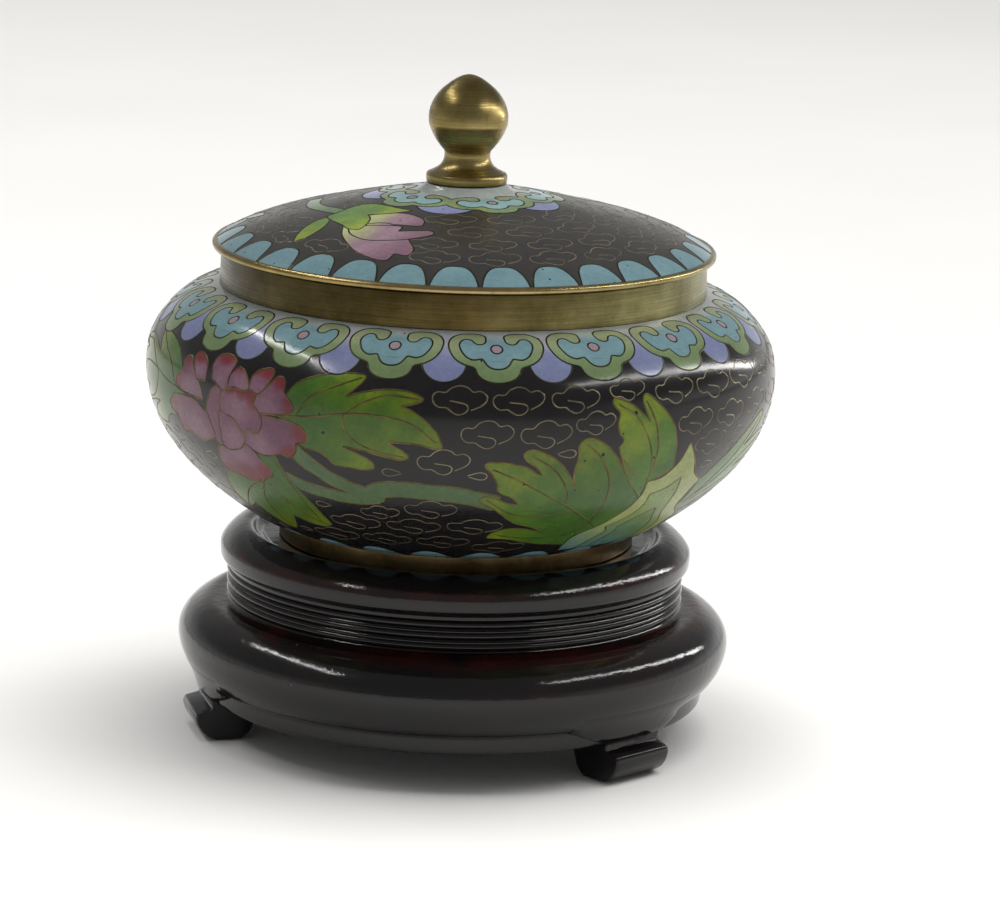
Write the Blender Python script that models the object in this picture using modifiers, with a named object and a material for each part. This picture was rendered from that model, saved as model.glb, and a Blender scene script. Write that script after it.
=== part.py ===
"""Cloisonne lidded bowl on its turned wooden stand.

Z is up and the origin is the middle of the circle that the three feet stand on. The front
faces -Y. All sizes are metres.
"""

import math

import bmesh
import bpy
from mathutils import Vector

MM = 0.001
GAP = 0.3 * MM
STEPS = 48
KNOB_STEPS = 32
WELD = 0.00001

# Stand: turned top roll, grooved waist, wide lower roll, shallow apron and three feet.
SEAT_Z = 33.0 * MM
SEAT_R = 33.0 * MM
ROLL_R = 40.0 * MM
ROLL_Z = 30.9 * MM
ROLL_TOP_Z = 34.65 * MM
WAIST_R = 38.75 * MM
GROOVE_DEEP = 0.65 * MM
GROOVE_ZS = (27.0 * MM, 25.0 * MM, 23.0 * MM)
BASE_ROLL_R = 46.95 * MM
BASE_ROLL_Z = 16.2 * MM
BASE_ROLL_TOP_Z = 21.8 * MM
BASE_ROLL_LOW_Z = 10.0 * MM
APRON_R = 42.8 * MM
APRON_Z = 6.3 * MM
HOLLOW_R = 38.0 * MM
HOLLOW_Z = 8.0 * MM

# Feet, each turned about Z from the front (-Y) towards +X.
FOOT_ANGLES = (44.5, 164.5, 284.5)
FOOT_WIDE = 11.0 * MM
FOOT_IN_R = 36.4 * MM
FOOT_OUT_R = 45.8 * MM
FOOT_LEDGE_Z = 4.4 * MM
BRACKET_R = 43.4 * MM
BRACKET_IN_R = 39.6 * MM
BRACKET_TOP_Z = 10.6 * MM
BRACKET_LOW_Z = 5.6 * MM
BRACKET_HALF_DEG = 22.0
BRACKET_BLOCK_DEG = 8.0

# Bowl: enamelled shell with a brass foot and a brass neck.
WALL = 1.8 * MM
BELLY_R = 53.05 * MM
BELLY_Z = 62.0 * MM
MOUTH_R = 41.0 * MM
MOUTH_Z = 76.1 * MM
BASE_R = 31.4 * MM
BASE_Z = 36.5 * MM
FOOT_RING_R = 30.1 * MM
FOOT_RING_IN_R = 27.6 * MM
NECK_R = 41.0 * MM
NECK_IN_R = 39.0 * MM
NECK_TOP_Z = 81.95 * MM

# Lid: brass lip with a ring that drops inside the neck, enamelled dome, brass finial.
LIP_R = 42.4 * MM
LIP_LOW_Z = NECK_TOP_Z + GAP
LIP_TOP_Z = 83.15 * MM
LID_RING_R = 38.6 * MM
LID_RING_IN_R = 37.5 * MM
LID_RING_LOW_Z = 78.6 * MM
DOME_R = 41.3 * MM
DOME_EDGE_Z = LIP_TOP_Z + GAP
DOME_TOP_Z = 92.75 * MM
DOME_WALL = 1.6 * MM
KNOB_Z = DOME_TOP_Z + GAP
KNOB_TOP_Z = 111.9 * MM
KNOB_BALL_R = 6.8 * MM
KNOB_BALL_Z = 104.9 * MM
KNOB_STEM_R = 4.1 * MM
KNOB_FLANGE_R = 7.1 * MM


def clear_scene():
    """Removes whatever the startup file holds."""
    for obj in list(bpy.data.objects):
        bpy.data.objects.remove(obj, do_unlink=True)


def new_collection(name):
    """A collection in the scene, made once."""
    group = bpy.data.collections.new(name)
    bpy.context.scene.collection.children.link(group)
    return group


def new_material(name, colour, roughness, metallic=0.0):
    """A plain Principled material."""
    material = bpy.data.materials.new(name)
    material.use_nodes = True
    shader = material.node_tree.nodes["Principled BSDF"]
    shader.inputs["Base Color"].default_value = (*colour, 1.0)
    shader.inputs["Roughness"].default_value = roughness
    shader.inputs["Metallic"].default_value = metallic
    material.diffuse_color = (*colour, 1.0)
    return material


def mesh_object(name, verts, edges, faces, group):
    """A mesh object in the given collection."""
    mesh = bpy.data.meshes.new(name)
    mesh.from_pydata(verts, edges, faces)
    mesh.update()
    obj = bpy.data.objects.new(name, mesh)
    group.objects.link(obj)
    return obj


def turned(name, profile, group, material, steps=STEPS, ring=False):
    """A body of revolution: the profile runs down its outer side, and a ring's closes on itself."""
    verts = [(r, 0.0, z) for r, z in profile]
    edges = [(i, i + 1) for i in range(len(verts) - 1)]
    if ring:
        edges.append((len(verts) - 1, 0))
    obj = mesh_object(name, verts, edges, [], group)
    screw = obj.modifiers.new("turn", "SCREW")
    screw.axis = "Z"
    screw.angle = 2.0 * math.pi
    screw.steps = steps
    screw.render_steps = steps
    screw.use_merge_vertices = True
    screw.merge_threshold = WELD
    screw.use_smooth_shade = True
    obj.data.materials.append(material)
    return obj


def inset(profile, wall):
    """The same curve moved inwards, towards the axis, by the wall."""
    out = []
    for i, (r, z) in enumerate(profile):
        before = Vector(profile[max(i - 1, 0)])
        after = Vector(profile[min(i + 1, len(profile) - 1)])
        along = (after - before).normalized()
        out.append((r + along.y * wall, z - along.x * wall))
    return out


def bowl_outline():
    """Outer side of the bowl from the mouth down to the edge of its base."""
    drop = MOUTH_Z - BELLY_Z
    rise = BELLY_Z - BASE_Z
    wide = BELLY_R - MOUTH_R
    deep = BELLY_R - BASE_R
    shoulder = ((0.79, 0.96), (0.53, 0.86), (0.27, 0.66), (0.07, 0.35))
    under = ((0.03, 0.17), (0.11, 0.35), (0.25, 0.53), (0.445, 0.70), (0.645, 0.835), (0.83, 0.94))
    stations = [(MOUTH_R, MOUTH_Z)]
    stations += [(BELLY_R - f * wide, BELLY_Z + h * drop) for f, h in shoulder]
    stations += [(BELLY_R, BELLY_Z)]
    stations += [(BELLY_R - f * deep, BELLY_Z - h * rise) for f, h in under]
    stations += [(BASE_R, BASE_Z)]
    return stations


def make_bowl(group, material):
    """Hollow enamelled shell, open at the mouth and closed by a flat base."""
    outer = bowl_outline()
    floor_z = BASE_Z + WALL
    inner = [p for p in inset(outer, WALL)[1:-1] if p[1] > floor_z + 0.5 * MM]
    profile = [(0.0, floor_z), (inner[-1][0] - 2.6 * MM, floor_z)]
    profile += inner[::-1]
    profile += [(NECK_IN_R, MOUTH_Z)]
    profile += outer
    profile += [(0.0, BASE_Z)]
    return turned("bowl_body", profile, group, material)


def make_foot_ring(group, material):
    """Brass ring that the bowl stands on."""
    top = BASE_Z - GAP
    low = SEAT_Z + GAP
    profile = [
        (FOOT_RING_R, top),
        (FOOT_RING_R, low),
        (FOOT_RING_IN_R, low),
        (FOOT_RING_IN_R, top),
    ]
    return turned("foot_ring", profile, group, material, ring=True)


def make_neck_ring(group, material):
    """Plain upright brass collar round the mouth."""
    low = MOUTH_Z + GAP
    profile = [(NECK_R, NECK_TOP_Z), (NECK_R, low), (NECK_IN_R, low), (NECK_IN_R, NECK_TOP_Z)]
    return turned("neck_ring", profile, group, material, ring=True)


def make_lid_rim(group, material):
    """Brass lip that lies over the neck, with the ring below that keeps the lid centred."""
    profile = [
        (DOME_R + 0.5 * MM, LIP_TOP_Z),
        (LIP_R, LIP_TOP_Z - 0.35 * MM),
        (LIP_R - 0.1 * MM, LIP_LOW_Z),
        (LID_RING_R, LIP_LOW_Z),
        (LID_RING_R, LID_RING_LOW_Z),
        (LID_RING_IN_R, LID_RING_LOW_Z),
        (LID_RING_IN_R, LIP_TOP_Z),
    ]
    return turned("lid_rim", profile, group, material, ring=True)


def dome_outline():
    """Outer side of the lid from the middle of its top down to its edge."""
    drop = DOME_TOP_Z - DOME_EDGE_Z
    shape = ((0.20, 0.03), (0.36, 0.14), (0.56, 0.33), (0.75, 0.535), (0.89, 0.745), (0.967, 0.905))
    stations = [(0.0, DOME_TOP_Z)]
    stations += [(f * DOME_R, DOME_TOP_Z - h * drop) for f, h in shape]
    stations += [(DOME_R, DOME_EDGE_Z)]
    return stations


def make_lid_dome(group, material):
    """Low enamelled dome, hollow below."""
    outer = dome_outline()
    inner = [p for p in inset(outer, DOME_WALL)[1:-1] if p[1] > DOME_EDGE_Z + 0.3 * MM]
    edge = (inner[-1][0] + 1.3 * MM, DOME_EDGE_Z)
    profile = outer + [edge] + inner[::-1] + [(0.0, DOME_TOP_Z - DOME_WALL)]
    return turned("lid_dome", profile, group, material)


def make_knob(group, material):
    """Brass finial: pointed ball, waisted stem and round flange."""
    rise = KNOB_TOP_Z - KNOB_BALL_Z
    above = ((0.24, 0.94), (0.54, 0.77), (0.80, 0.50), (0.965, 0.20), (1.0, 0.0))
    below = ((0.92, -0.38), (0.765, -0.69))
    profile = [(0.0, KNOB_TOP_Z)]
    profile += [(f * KNOB_BALL_R, KNOB_BALL_Z + h * rise) for f, h in above + below]
    profile += [
        (KNOB_STEM_R, KNOB_Z + 5.7 * MM),
        (KNOB_STEM_R, KNOB_Z + 4.4 * MM),
        (5.4 * MM, KNOB_Z + 3.0 * MM),
        (6.6 * MM, KNOB_Z + 1.9 * MM),
        (KNOB_FLANGE_R, KNOB_Z + 1.3 * MM),
        (KNOB_FLANGE_R, KNOB_Z),
        (0.0, KNOB_Z),
    ]
    return turned("lid_knob", profile, group, material, steps=KNOB_STEPS)


def waist_outline():
    """Waist of the stand with its turned grooves, top to bottom."""
    points = [(WAIST_R, ROLL_Z - 2.5 * MM)]
    for z in GROOVE_ZS:
        points += [
            (WAIST_R, z + 0.45 * MM),
            (WAIST_R - GROOVE_DEEP, z),
            (WAIST_R, z - 0.45 * MM),
        ]
    return points


def base_roll_outline():
    """Wide lower roll of the stand, from the waist down to the apron."""
    up = BASE_ROLL_TOP_Z - BASE_ROLL_Z
    down = BASE_ROLL_Z - BASE_ROLL_LOW_Z
    deep = BASE_ROLL_R - WAIST_R
    upper = ((0.62, 0.97), (0.40, 0.84), (0.20, 0.63), (0.05, 0.33))
    lower = ((0.04, 0.34), (0.15, 0.68), (0.33, 1.0))
    points = [(BASE_ROLL_R - f * deep, BASE_ROLL_Z + h * up) for f, h in upper]
    points += [(BASE_ROLL_R, BASE_ROLL_Z)]
    points += [(BASE_ROLL_R - f * deep, BASE_ROLL_Z - h * down) for f, h in lower]
    return points


def stand_profile():
    """Whole turned section of the stand, without its feet."""
    crest = ROLL_TOP_Z - ROLL_Z
    top_roll = ((0.86, 0.71), (0.755, 0.96), (0.59, 1.0), (0.37, 0.85), (0.17, 0.58), (0.03, 0.27))
    points = [(0.0, SEAT_Z), (SEAT_R, SEAT_Z)]
    points += [(ROLL_R - f * (ROLL_R - SEAT_R), ROLL_Z + h * crest) for f, h in top_roll]
    points += [(ROLL_R, ROLL_Z), (ROLL_R - 0.45 * MM, ROLL_Z - 1.4 * MM)]
    points += waist_outline()
    points += base_roll_outline()
    points += [
        (APRON_R, BASE_ROLL_LOW_Z - 0.5 * MM),
        (APRON_R, APRON_Z),
        (HOLLOW_R, APRON_Z),
        (HOLLOW_R, HOLLOW_Z),
        (0.0, HOLLOW_Z),
    ]
    return points


def polar(angle_deg, radius, across=0.0):
    """Plan position at an angle from the front, moved sideways by across."""
    angle = math.radians(angle_deg)
    x = radius * math.sin(angle) + across * math.cos(angle)
    y = -radius * math.cos(angle) + across * math.sin(angle)
    return x, y


def outward(obj):
    """Turns all faces outwards."""
    work = bmesh.new()
    work.from_mesh(obj.data)
    bmesh.ops.recalc_face_normals(work, faces=work.faces)
    work.to_mesh(obj.data)
    work.free()


def foot_outline():
    """Side view of a foot: radius and height, round the block."""
    step_r = BRACKET_R - 0.6 * MM
    return [
        (BRACKET_R - 0.5 * MM, BRACKET_TOP_Z - 0.6 * MM),
        (BRACKET_R, FOOT_LEDGE_Z + 2.3 * MM),
        (step_r, FOOT_LEDGE_Z + 1.6 * MM),
        (step_r, FOOT_LEDGE_Z + 0.5 * MM),
        (FOOT_OUT_R - 0.2 * MM, FOOT_LEDGE_Z),
        (FOOT_OUT_R, 0.80 * FOOT_LEDGE_Z),
        (FOOT_OUT_R - 0.5 * MM, 0.50 * FOOT_LEDGE_Z),
        (FOOT_OUT_R - 1.7 * MM, 0.19 * FOOT_LEDGE_Z),
        (FOOT_OUT_R - 3.4 * MM, 0.0),
        (FOOT_IN_R + 1.8 * MM, 0.0),
        (FOOT_IN_R + 0.5 * MM, 0.31 * FOOT_LEDGE_Z),
        (FOOT_IN_R, 1.15 * FOOT_LEDGE_Z),
        (FOOT_IN_R, HOLLOW_Z + 1.1 * MM),
    ]


def make_foot(index, angle, group):
    """Foot block under the lower roll."""
    outline = foot_outline()
    count = len(outline)
    verts = []
    for across in (-FOOT_WIDE / 2.0, FOOT_WIDE / 2.0):
        for radius, z in outline:
            verts.append((*polar(angle, radius, across), z))
    faces = [tuple(range(count)), tuple(range(2 * count - 1, count - 1, -1))]
    faces += [(i, (i + 1) % count, (i + 1) % count + count, i + count) for i in range(count)]
    foot = mesh_object(f"foot_block_{index}", verts, [], faces, group)
    outward(foot)
    return foot


def bracket_low(angle):
    """Height of a bracket's lower edge: level beside the block, then swept up to the apron."""
    run = (abs(angle) - BRACKET_BLOCK_DEG) / (BRACKET_HALF_DEG - BRACKET_BLOCK_DEG)
    run = min(max(run, 0.0), 1.0)
    rise = BASE_ROLL_LOW_Z - 0.3 * MM - BRACKET_LOW_Z
    return BRACKET_LOW_Z + rise * math.sin(0.5 * math.pi * run) ** 1.5


def make_bracket(index, angle, group):
    """Curved bracket that spreads a foot into the apron."""
    spans = 12
    verts = []
    for k in range(spans + 1):
        turn = BRACKET_HALF_DEG * (2.0 * k / spans - 1.0)
        low = bracket_low(turn)
        for radius, z in (
            (BRACKET_R, BRACKET_TOP_Z),
            (BRACKET_R, low),
            (BRACKET_IN_R, low),
            (BRACKET_IN_R, BRACKET_TOP_Z),
        ):
            verts.append((*polar(angle + turn, radius), z))
    faces = [(0, 1, 2, 3), tuple(4 * spans + j for j in (3, 2, 1, 0))]
    for k in range(spans):
        for j in range(4):
            a = 4 * k + j
            b = 4 * k + (j + 1) % 4
            faces.append((a, b, b + 4, a + 4))
    bracket = mesh_object(f"foot_bracket_{index}", verts, [], faces, group)
    outward(bracket)
    return bracket


def join_to(body, tool):
    """Adds the tool to the body with an exact union."""
    tool.hide_render = True
    tool.display_type = "WIRE"
    union = body.modifiers.new(f"add_{tool.name}", "BOOLEAN")
    union.operation = "UNION"
    union.solver = "EXACT"
    union.object = tool


def make_stand(group, tools, material):
    """Turned stand with its three bracket feet."""
    stand = turned("wooden_stand", stand_profile(), group, material)
    for index, angle in enumerate(FOOT_ANGLES):
        join_to(stand, make_bracket(index, angle, tools))
        join_to(stand, make_foot(index, angle, tools))
    return stand


def main():
    clear_scene()
    group = new_collection("cloisonne_lidded_bowl")
    tools = new_collection("cutters")
    tools.hide_render = True
    lacquer = new_material("stand_lacquer", (0.020, 0.014, 0.013), 0.18)
    bowl_enamel = new_material("bowl_enamel", (0.030, 0.030, 0.035), 0.15)
    lid_enamel = new_material("lid_enamel", (0.030, 0.030, 0.035), 0.15)
    foot_brass = new_material("foot_brass", (0.36, 0.24, 0.10), 0.45, 1.0)
    neck_brass = new_material("neck_brass", (0.42, 0.31, 0.13), 0.40, 1.0)
    rim_brass = new_material("rim_brass", (0.52, 0.40, 0.18), 0.30, 1.0)
    knob_brass = new_material("knob_brass", (0.52, 0.44, 0.26), 0.30, 1.0)
    make_stand(group, tools, lacquer)
    make_foot_ring(group, foot_brass)
    make_bowl(group, bowl_enamel)
    make_neck_ring(group, neck_brass)
    make_lid_rim(group, rim_brass)
    make_lid_dome(group, lid_enamel)
    make_knob(group, knob_brass)


main()
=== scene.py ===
"""Looks of the cloisonne lidded bowl on its turned wooden stand.

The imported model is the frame. Lengths in the drawings are millimetres. The bowl is drawn on a
flat sheet: x runs round it, SHEET_R millimetres to the radian, from the front (-Y) towards +X,
and y runs down its section from the mouth. The lid is drawn in plan: x to the right and y
towards the front, measured along the dome from its middle. Drawn lines are smooth, except at
points with a third value, which are corners.
"""

import math
from collections import namedtuple

import bmesh
import bpy
import numpy as np
from mathutils import Matrix, Vector
from mathutils.geometry import delaunay_2d_cdt


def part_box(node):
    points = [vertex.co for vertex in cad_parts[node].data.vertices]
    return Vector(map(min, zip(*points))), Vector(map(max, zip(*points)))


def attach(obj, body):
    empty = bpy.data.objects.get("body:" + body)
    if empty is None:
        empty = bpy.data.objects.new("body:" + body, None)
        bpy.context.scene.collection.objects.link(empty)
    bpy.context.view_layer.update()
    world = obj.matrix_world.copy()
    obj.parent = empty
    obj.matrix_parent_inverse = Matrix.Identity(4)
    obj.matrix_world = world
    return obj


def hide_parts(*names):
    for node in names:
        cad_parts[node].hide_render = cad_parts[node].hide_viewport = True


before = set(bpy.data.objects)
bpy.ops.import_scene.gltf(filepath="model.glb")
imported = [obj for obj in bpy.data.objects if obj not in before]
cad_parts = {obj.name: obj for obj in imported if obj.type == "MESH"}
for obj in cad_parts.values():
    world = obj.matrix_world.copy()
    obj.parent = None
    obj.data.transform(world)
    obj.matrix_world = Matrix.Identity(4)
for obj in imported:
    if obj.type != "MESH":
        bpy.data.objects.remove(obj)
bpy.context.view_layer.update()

MM = 0.001
SHEET_R = 50.0
ROUND = 2.0 * math.pi * SHEET_R
SEAM_X = -160.0
# Between samples of outlines, and between the triangles' free points in cells, in the field and
# beside lines and edges.
OUTLINE_STEP = 0.35
FINE_GAP = 0.7
COARSE_GAP = 1.5
LINE_GAP = 0.3
EDGE_MARGIN = 0.5
SAME_SPOT = 0.0001
# Thickness of the enamel over its lining, and the sizes of the wires.
SKIN = 0.12
PIT_DEPTH = 0.8 * SKIN
CELL_WIRE = 0.38
CLOUD_WIRE = 0.25
WIRE_HIGH = 0.03
WIRE_STEP = 0.4
WIRE_SECTION = ((-0.5, -1.0), (-0.26, 1.0), (0.26, 1.0), (0.5, -1.0))
RNG = np.random.default_rng(7)

# An outline, the rule for its colours, the name of its wall, its zone (rim, border or flower) and
# how far it was moved round the sheet.
Cell = namedtuple("Cell", "shape paint wall zone shift")


# ---------------------------------------------------------------- small helpers


def box_mm(node):
    """A CAD node's lowest and highest corner, in millimetres."""
    low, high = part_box(node)
    return low / MM, high / MM


def srgb(red, green, blue):
    """A display colour, 0 to 255, as linear light."""
    c = np.array([red, green, blue]) / 255.0
    return np.where(c <= 0.04045, c / 12.92, ((c + 0.055) / 1.055) ** 2.4)


def mix(a, b, amount):
    """Colours from a to b, one for each amount."""
    t = np.clip(amount, 0.0, 1.0)[:, None]
    return (1.0 - t) * a + t * b


def ease(value, low, high):
    """0 below low, 1 above high, smooth between."""
    t = np.clip((value - low) / (high - low), 0.0, 1.0)
    return t * t * (3.0 - 2.0 * t)


def unit(rows):
    """Each row scaled to length one."""
    return rows / np.maximum(np.linalg.norm(rows, axis=1), 1e-9)[:, None]


def distances(line):
    """How far along the line each of its points is."""
    steps = np.linalg.norm(np.diff(line, axis=0), axis=1)
    return np.concatenate([[0.0], np.cumsum(steps)])


def smooth(points, step):
    """An open smooth curve through the points, sampled about every step."""
    p = np.asarray(points, float)
    ext = np.vstack([2.0 * p[0] - p[1], p, 2.0 * p[-1] - p[-2]])
    parts = []
    for a, b, c, d in zip(ext, ext[1:], ext[2:], ext[3:]):
        count = max(int(math.ceil(np.linalg.norm(c - b) / step)), 1)
        t = (np.arange(count) / count)[:, None]
        bend = 2.0 * a - 5.0 * b + 4.0 * c - d
        parts.append(0.5 * (2.0 * b + (c - a) * t + bend * t**2 + (3.0 * b - a - 3.0 * c + d) * t**3))
    parts.append(p[-1:])
    return np.vstack(parts)


def outline(points):
    """A closed outline through the points."""
    corners = [i for i, p in enumerate(points) if len(p) > 2]
    flat = [p[:2] for p in points]
    count = len(flat)
    if not corners:
        dense = smooth([flat[i % count] for i in range(-2, count + 3)], OUTLINE_STEP)
        first = np.argmin(np.linalg.norm(dense - flat[0], axis=1))
        last = len(dense) - 1 - np.argmin(np.linalg.norm(dense[::-1] - flat[0], axis=1))
        return dense[first:last]
    parts = []
    for i, j in zip(corners, corners[1:] + [corners[0] + count]):
        run = [flat[k % count] for k in range(i, j + 1)]
        parts.append(smooth(run, OUTLINE_STEP)[:-1])
    return np.vstack(parts)


def path(points, step):
    """An open line through the points."""
    inner = range(1, len(points) - 1)
    cuts = [0, *(i for i in inner if len(points[i]) > 2), len(points) - 1]
    flat = [p[:2] for p in points]
    parts = [smooth(flat[i : j + 1], step)[:-1] for i, j in zip(cuts, cuts[1:])]
    return np.vstack(parts + [flat[-1:]])


def circle(x, y, radius, count):
    """A round outline."""
    turn = 2.0 * np.pi * np.arange(count) / count
    return np.stack([x + radius * np.cos(turn), y + radius * np.sin(turn)], -1)


def stem_shape(points, width):
    """The outline of a stem of even width along a smooth line."""
    line = smooth(points, 0.8)
    along = unit(np.gradient(line, axis=0))
    side = 0.5 * width * np.stack([-along[:, 1], along[:, 0]], -1)
    return np.vstack([line + side, (line - side)[::-1]])


def mirrored(points, at_x):
    """The points turned over about a line of constant x."""
    return [(2.0 * at_x - p[0], *p[1:]) for p in points]


def moved(points, dx, dy, scale=1.0):
    """The points scaled about the origin and shifted."""
    return [(p[0] * scale + dx, p[1] * scale + dy, *p[2:]) for p in points]


def rotated(points, angle):
    """The points turned about the origin."""
    c, s = math.cos(angle), math.sin(angle)
    return [(c * p[0] + s * p[1], c * p[1] - s * p[0], *p[2:]) for p in points]


def inside(points, polygon):
    """Which points lie in the polygon, by the even-odd rule."""
    low = polygon.min(0)
    high = polygon.max(0)
    near = np.flatnonzero(((points >= low) & (points <= high)).all(1))
    found = np.zeros(len(points), bool)
    if not len(near):
        return found
    px = points[near, 0][:, None]
    py = points[near, 1][:, None]
    x1, y1 = polygon.T
    x2, y2 = np.roll(polygon, -1, axis=0).T
    crosses = (y1 > py) != (y2 > py)
    rise = np.where(y2 == y1, 1.0, y2 - y1)
    found[near] = ((px < (x2 - x1) * (py - y1) / rise + x1) & crosses).sum(1) % 2 == 1
    return found


# ---------------------------------------------------------------- turned surfaces


class Surface:
    """A turned surface on which a flat sheet or plan is laid."""

    def __init__(self, stations, plan):
        self.line = smooth(stations, 0.25)
        self.run = distances(self.line)
        self.length = float(self.run[-1])
        self.slope = unit(np.gradient(self.line, self.run, axis=0))
        self.plan = plan

    def turn_and_run(self, flat):
        """Angle from the front and distance along the section of each flat point."""
        if self.plan:
            return np.arctan2(flat[:, 0], flat[:, 1]), np.hypot(flat[:, 0], flat[:, 1])
        return flat[:, 0] / SHEET_R, flat[:, 1]

    def place(self, flat):
        """Flat points as points in space (millimetres), with the surface's normals there."""
        turn, run = self.turn_and_run(flat)
        radius, height = [np.interp(run, self.run, column) for column in self.line.T]
        up, down = [np.interp(run, self.run, column) for column in self.slope.T]
        x, y = np.sin(turn), -np.cos(turn)
        spots = np.stack([radius * x, radius * y, height], -1)
        return spots, unit(np.stack([-down * x, -down * y, up], -1))

    def within(self, flat, margin):
        """Which flat points are inside the drawing's edge by the margin."""
        run = self.turn_and_run(flat)[1]
        keep = run < self.length - margin
        if not self.plan:
            keep &= (run > margin) & (flat[:, 0] > SEAM_X + margin)
            keep &= flat[:, 0] < SEAM_X + ROUND - margin
        return keep


class Drawing:
    """Enamel cells, loose wires and pits, drawn flat. Flowers lie between the two flower runs."""

    def __init__(self, surface, part, node, flower_runs):
        self.surface = surface
        self.part = part
        self.node = node
        self.flower_runs = flower_runs
        self.cells = []
        self.veins = []
        self.curls = []
        self.pits = []

    def fill(self, shape, paint, wall, zone):
        """A cell. Cells with the same wall name have no wire between them."""
        shape = np.asarray(shape, float)
        shifts = (0.0,) if self.surface.plan else (-ROUND, 0.0, ROUND)
        for shift in shifts:
            spot = shape + (shift, 0.0)
            on_sheet = spot[:, 0].max() > SEAM_X and spot[:, 0].min() < SEAM_X + ROUND
            if self.surface.plan or on_sheet:
                self.cells.append(Cell(spot, paint, wall, zone, shift))

    def covered(self, points):
        """Which points lie on a coloured cell."""
        hit = np.zeros(len(points), bool)
        low, high = points.min(0), points.max(0)
        for cell in self.cells:
            if (cell.shape.max(0) > low).all() and (cell.shape.min(0) < high).all():
                hit |= inside(points, cell.shape)
        return hit


def wrapped(points):
    """Sheet points brought between the sheet's two sides."""
    out = points.copy()
    out[:, 0] = (out[:, 0] - SEAM_X) % ROUND + SEAM_X
    return out


def grid_points(drawing):
    """Free points for the triangles: close together where colours blend, wider elsewhere."""
    surface = drawing.surface
    low, high = (SEAM_X, 0.0), (SEAM_X + ROUND, surface.length)
    if surface.plan:
        low, high = (-surface.length, -surface.length), (surface.length, surface.length)
    parts = []
    for gap in (FINE_GAP, COARSE_GAP):
        xs = np.arange(low[0] + 0.5 * gap, high[0], gap)
        ys = np.arange(low[1] + 0.5 * gap, high[1], gap * 0.87)
        gx, gy = np.meshgrid(xs, ys)
        gx = gx + 0.25 * gap * np.where(np.arange(len(ys)) % 2, 1.0, -1.0)[:, None]
        grid = np.stack([gx.ravel(), gy.ravel()], -1)
        hit = np.zeros(len(grid), bool)
        for cell in drawing.cells:
            if cell.zone != "rim":
                hit |= inside(grid, cell.shape)
        parts.append(grid[hit if gap == FINE_GAP else ~hit])
    points = np.vstack(parts)
    return points[surface.within(points, EDGE_MARGIN)]


def away_from(points, lines, gap):
    """The points that are at least about a gap from every line's samples."""
    taken = set()
    for i, j in np.floor(np.vstack(lines) / gap).astype(int).tolist():
        taken.update((i + di, j + dj) for di in (-1, 0, 1) for dj in (-1, 0, 1))
    cells = np.floor(points / gap).astype(int).tolist()
    return points[[tuple(c) not in taken for c in cells]]


def edge_line(surface):
    """The closed edge of the drawing."""
    if surface.plan:
        return circle(0.0, 0.0, surface.length, 360)
    xs = np.linspace(SEAM_X, SEAM_X + ROUND, 361)
    ys = np.linspace(0.0, surface.length, 50)[1:-1]
    sides = (
        (xs, np.zeros_like(xs)),
        (np.full_like(ys, xs[-1]), ys),
        (xs[::-1], np.full_like(xs, surface.length)),
        (np.full_like(ys, SEAM_X), ys[::-1]),
    )
    return np.vstack([np.column_stack(side) for side in sides])


def flat_triangles(loops, free):
    """Points and triangles that follow closed loops and use the free points."""
    edges = []
    start = 0
    for loop in loops:
        count = len(loop)
        edges += [(start + i, start + (i + 1) % count) for i in range(count)]
        start += count
    coords = [Vector(p) for p in np.vstack(loops + free).tolist()]
    made = delaunay_2d_cdt(coords, edges, [], 0, SAME_SPOT, False)
    return np.array([tuple(v) for v in made[0]]), np.array([tuple(f) for f in made[2]], int)


def triangulate(drawing):
    """Triangles, the number of the cell each belongs to (-1 is the field), and which are pits."""
    pits = [circle(*pit, 8) for pit in drawing.pits]
    loops = [edge_line(drawing.surface)] + [cell.shape for cell in drawing.cells] + pits
    free = away_from(grid_points(drawing), loops, LINE_GAP)
    centres = np.array([pit[:2] for pit in drawing.pits]).reshape(-1, 2)
    flat, tris = flat_triangles(loops, [free, centres])
    tris = tris[drawing.surface.within(flat[tris].mean(1), 0.0)]
    middle = flat[tris].mean(1)
    owner = np.full(len(tris), -1)
    for k, cell in enumerate(drawing.cells):
        owner[inside(middle, cell.shape)] = k
    pitted = np.zeros(len(tris), bool)
    for pit in pits:
        pitted |= inside(middle, pit)
    return flat, tris, owner, pitted


def welded(flat, plan):
    """For each point, its own number, or at the sheet's right side that of its left-side twin."""
    index = np.arange(len(flat))
    if plan:
        return index
    left = np.flatnonzero(np.abs(flat[:, 0] - SEAM_X) < SAME_SPOT)
    for i in np.flatnonzero(np.abs(flat[:, 0] - SEAM_X - ROUND) < SAME_SPOT):
        gaps = np.abs(flat[left, 1] - flat[i, 1])
        if gaps.min() < 0.01:
            index[i] = left[gaps.argmin()]
    return index


def wall_links(tris, walls, place):
    """For each place, the places it is linked to by an edge between two different walls."""
    corner = place[tris]
    edges = np.concatenate([corner[:, [0, 1]], corner[:, [1, 2]], corner[:, [2, 0]]])
    sides = np.concatenate([walls, walls, walls])
    edges.sort(axis=1)
    order = np.lexsort((edges[:, 1], edges[:, 0]))
    edges = edges[order]
    sides = sides[order]
    same = (edges[1:] == edges[:-1]).all(1)
    differs = same & (sides[1:] != sides[:-1]) & (sides[1:] >= 0) & (sides[:-1] >= 0)
    links = {}
    for a, b in edges[1:][differs].tolist():
        if a != b:
            links.setdefault(a, []).append(b)
            links.setdefault(b, []).append(a)
    return links


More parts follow.
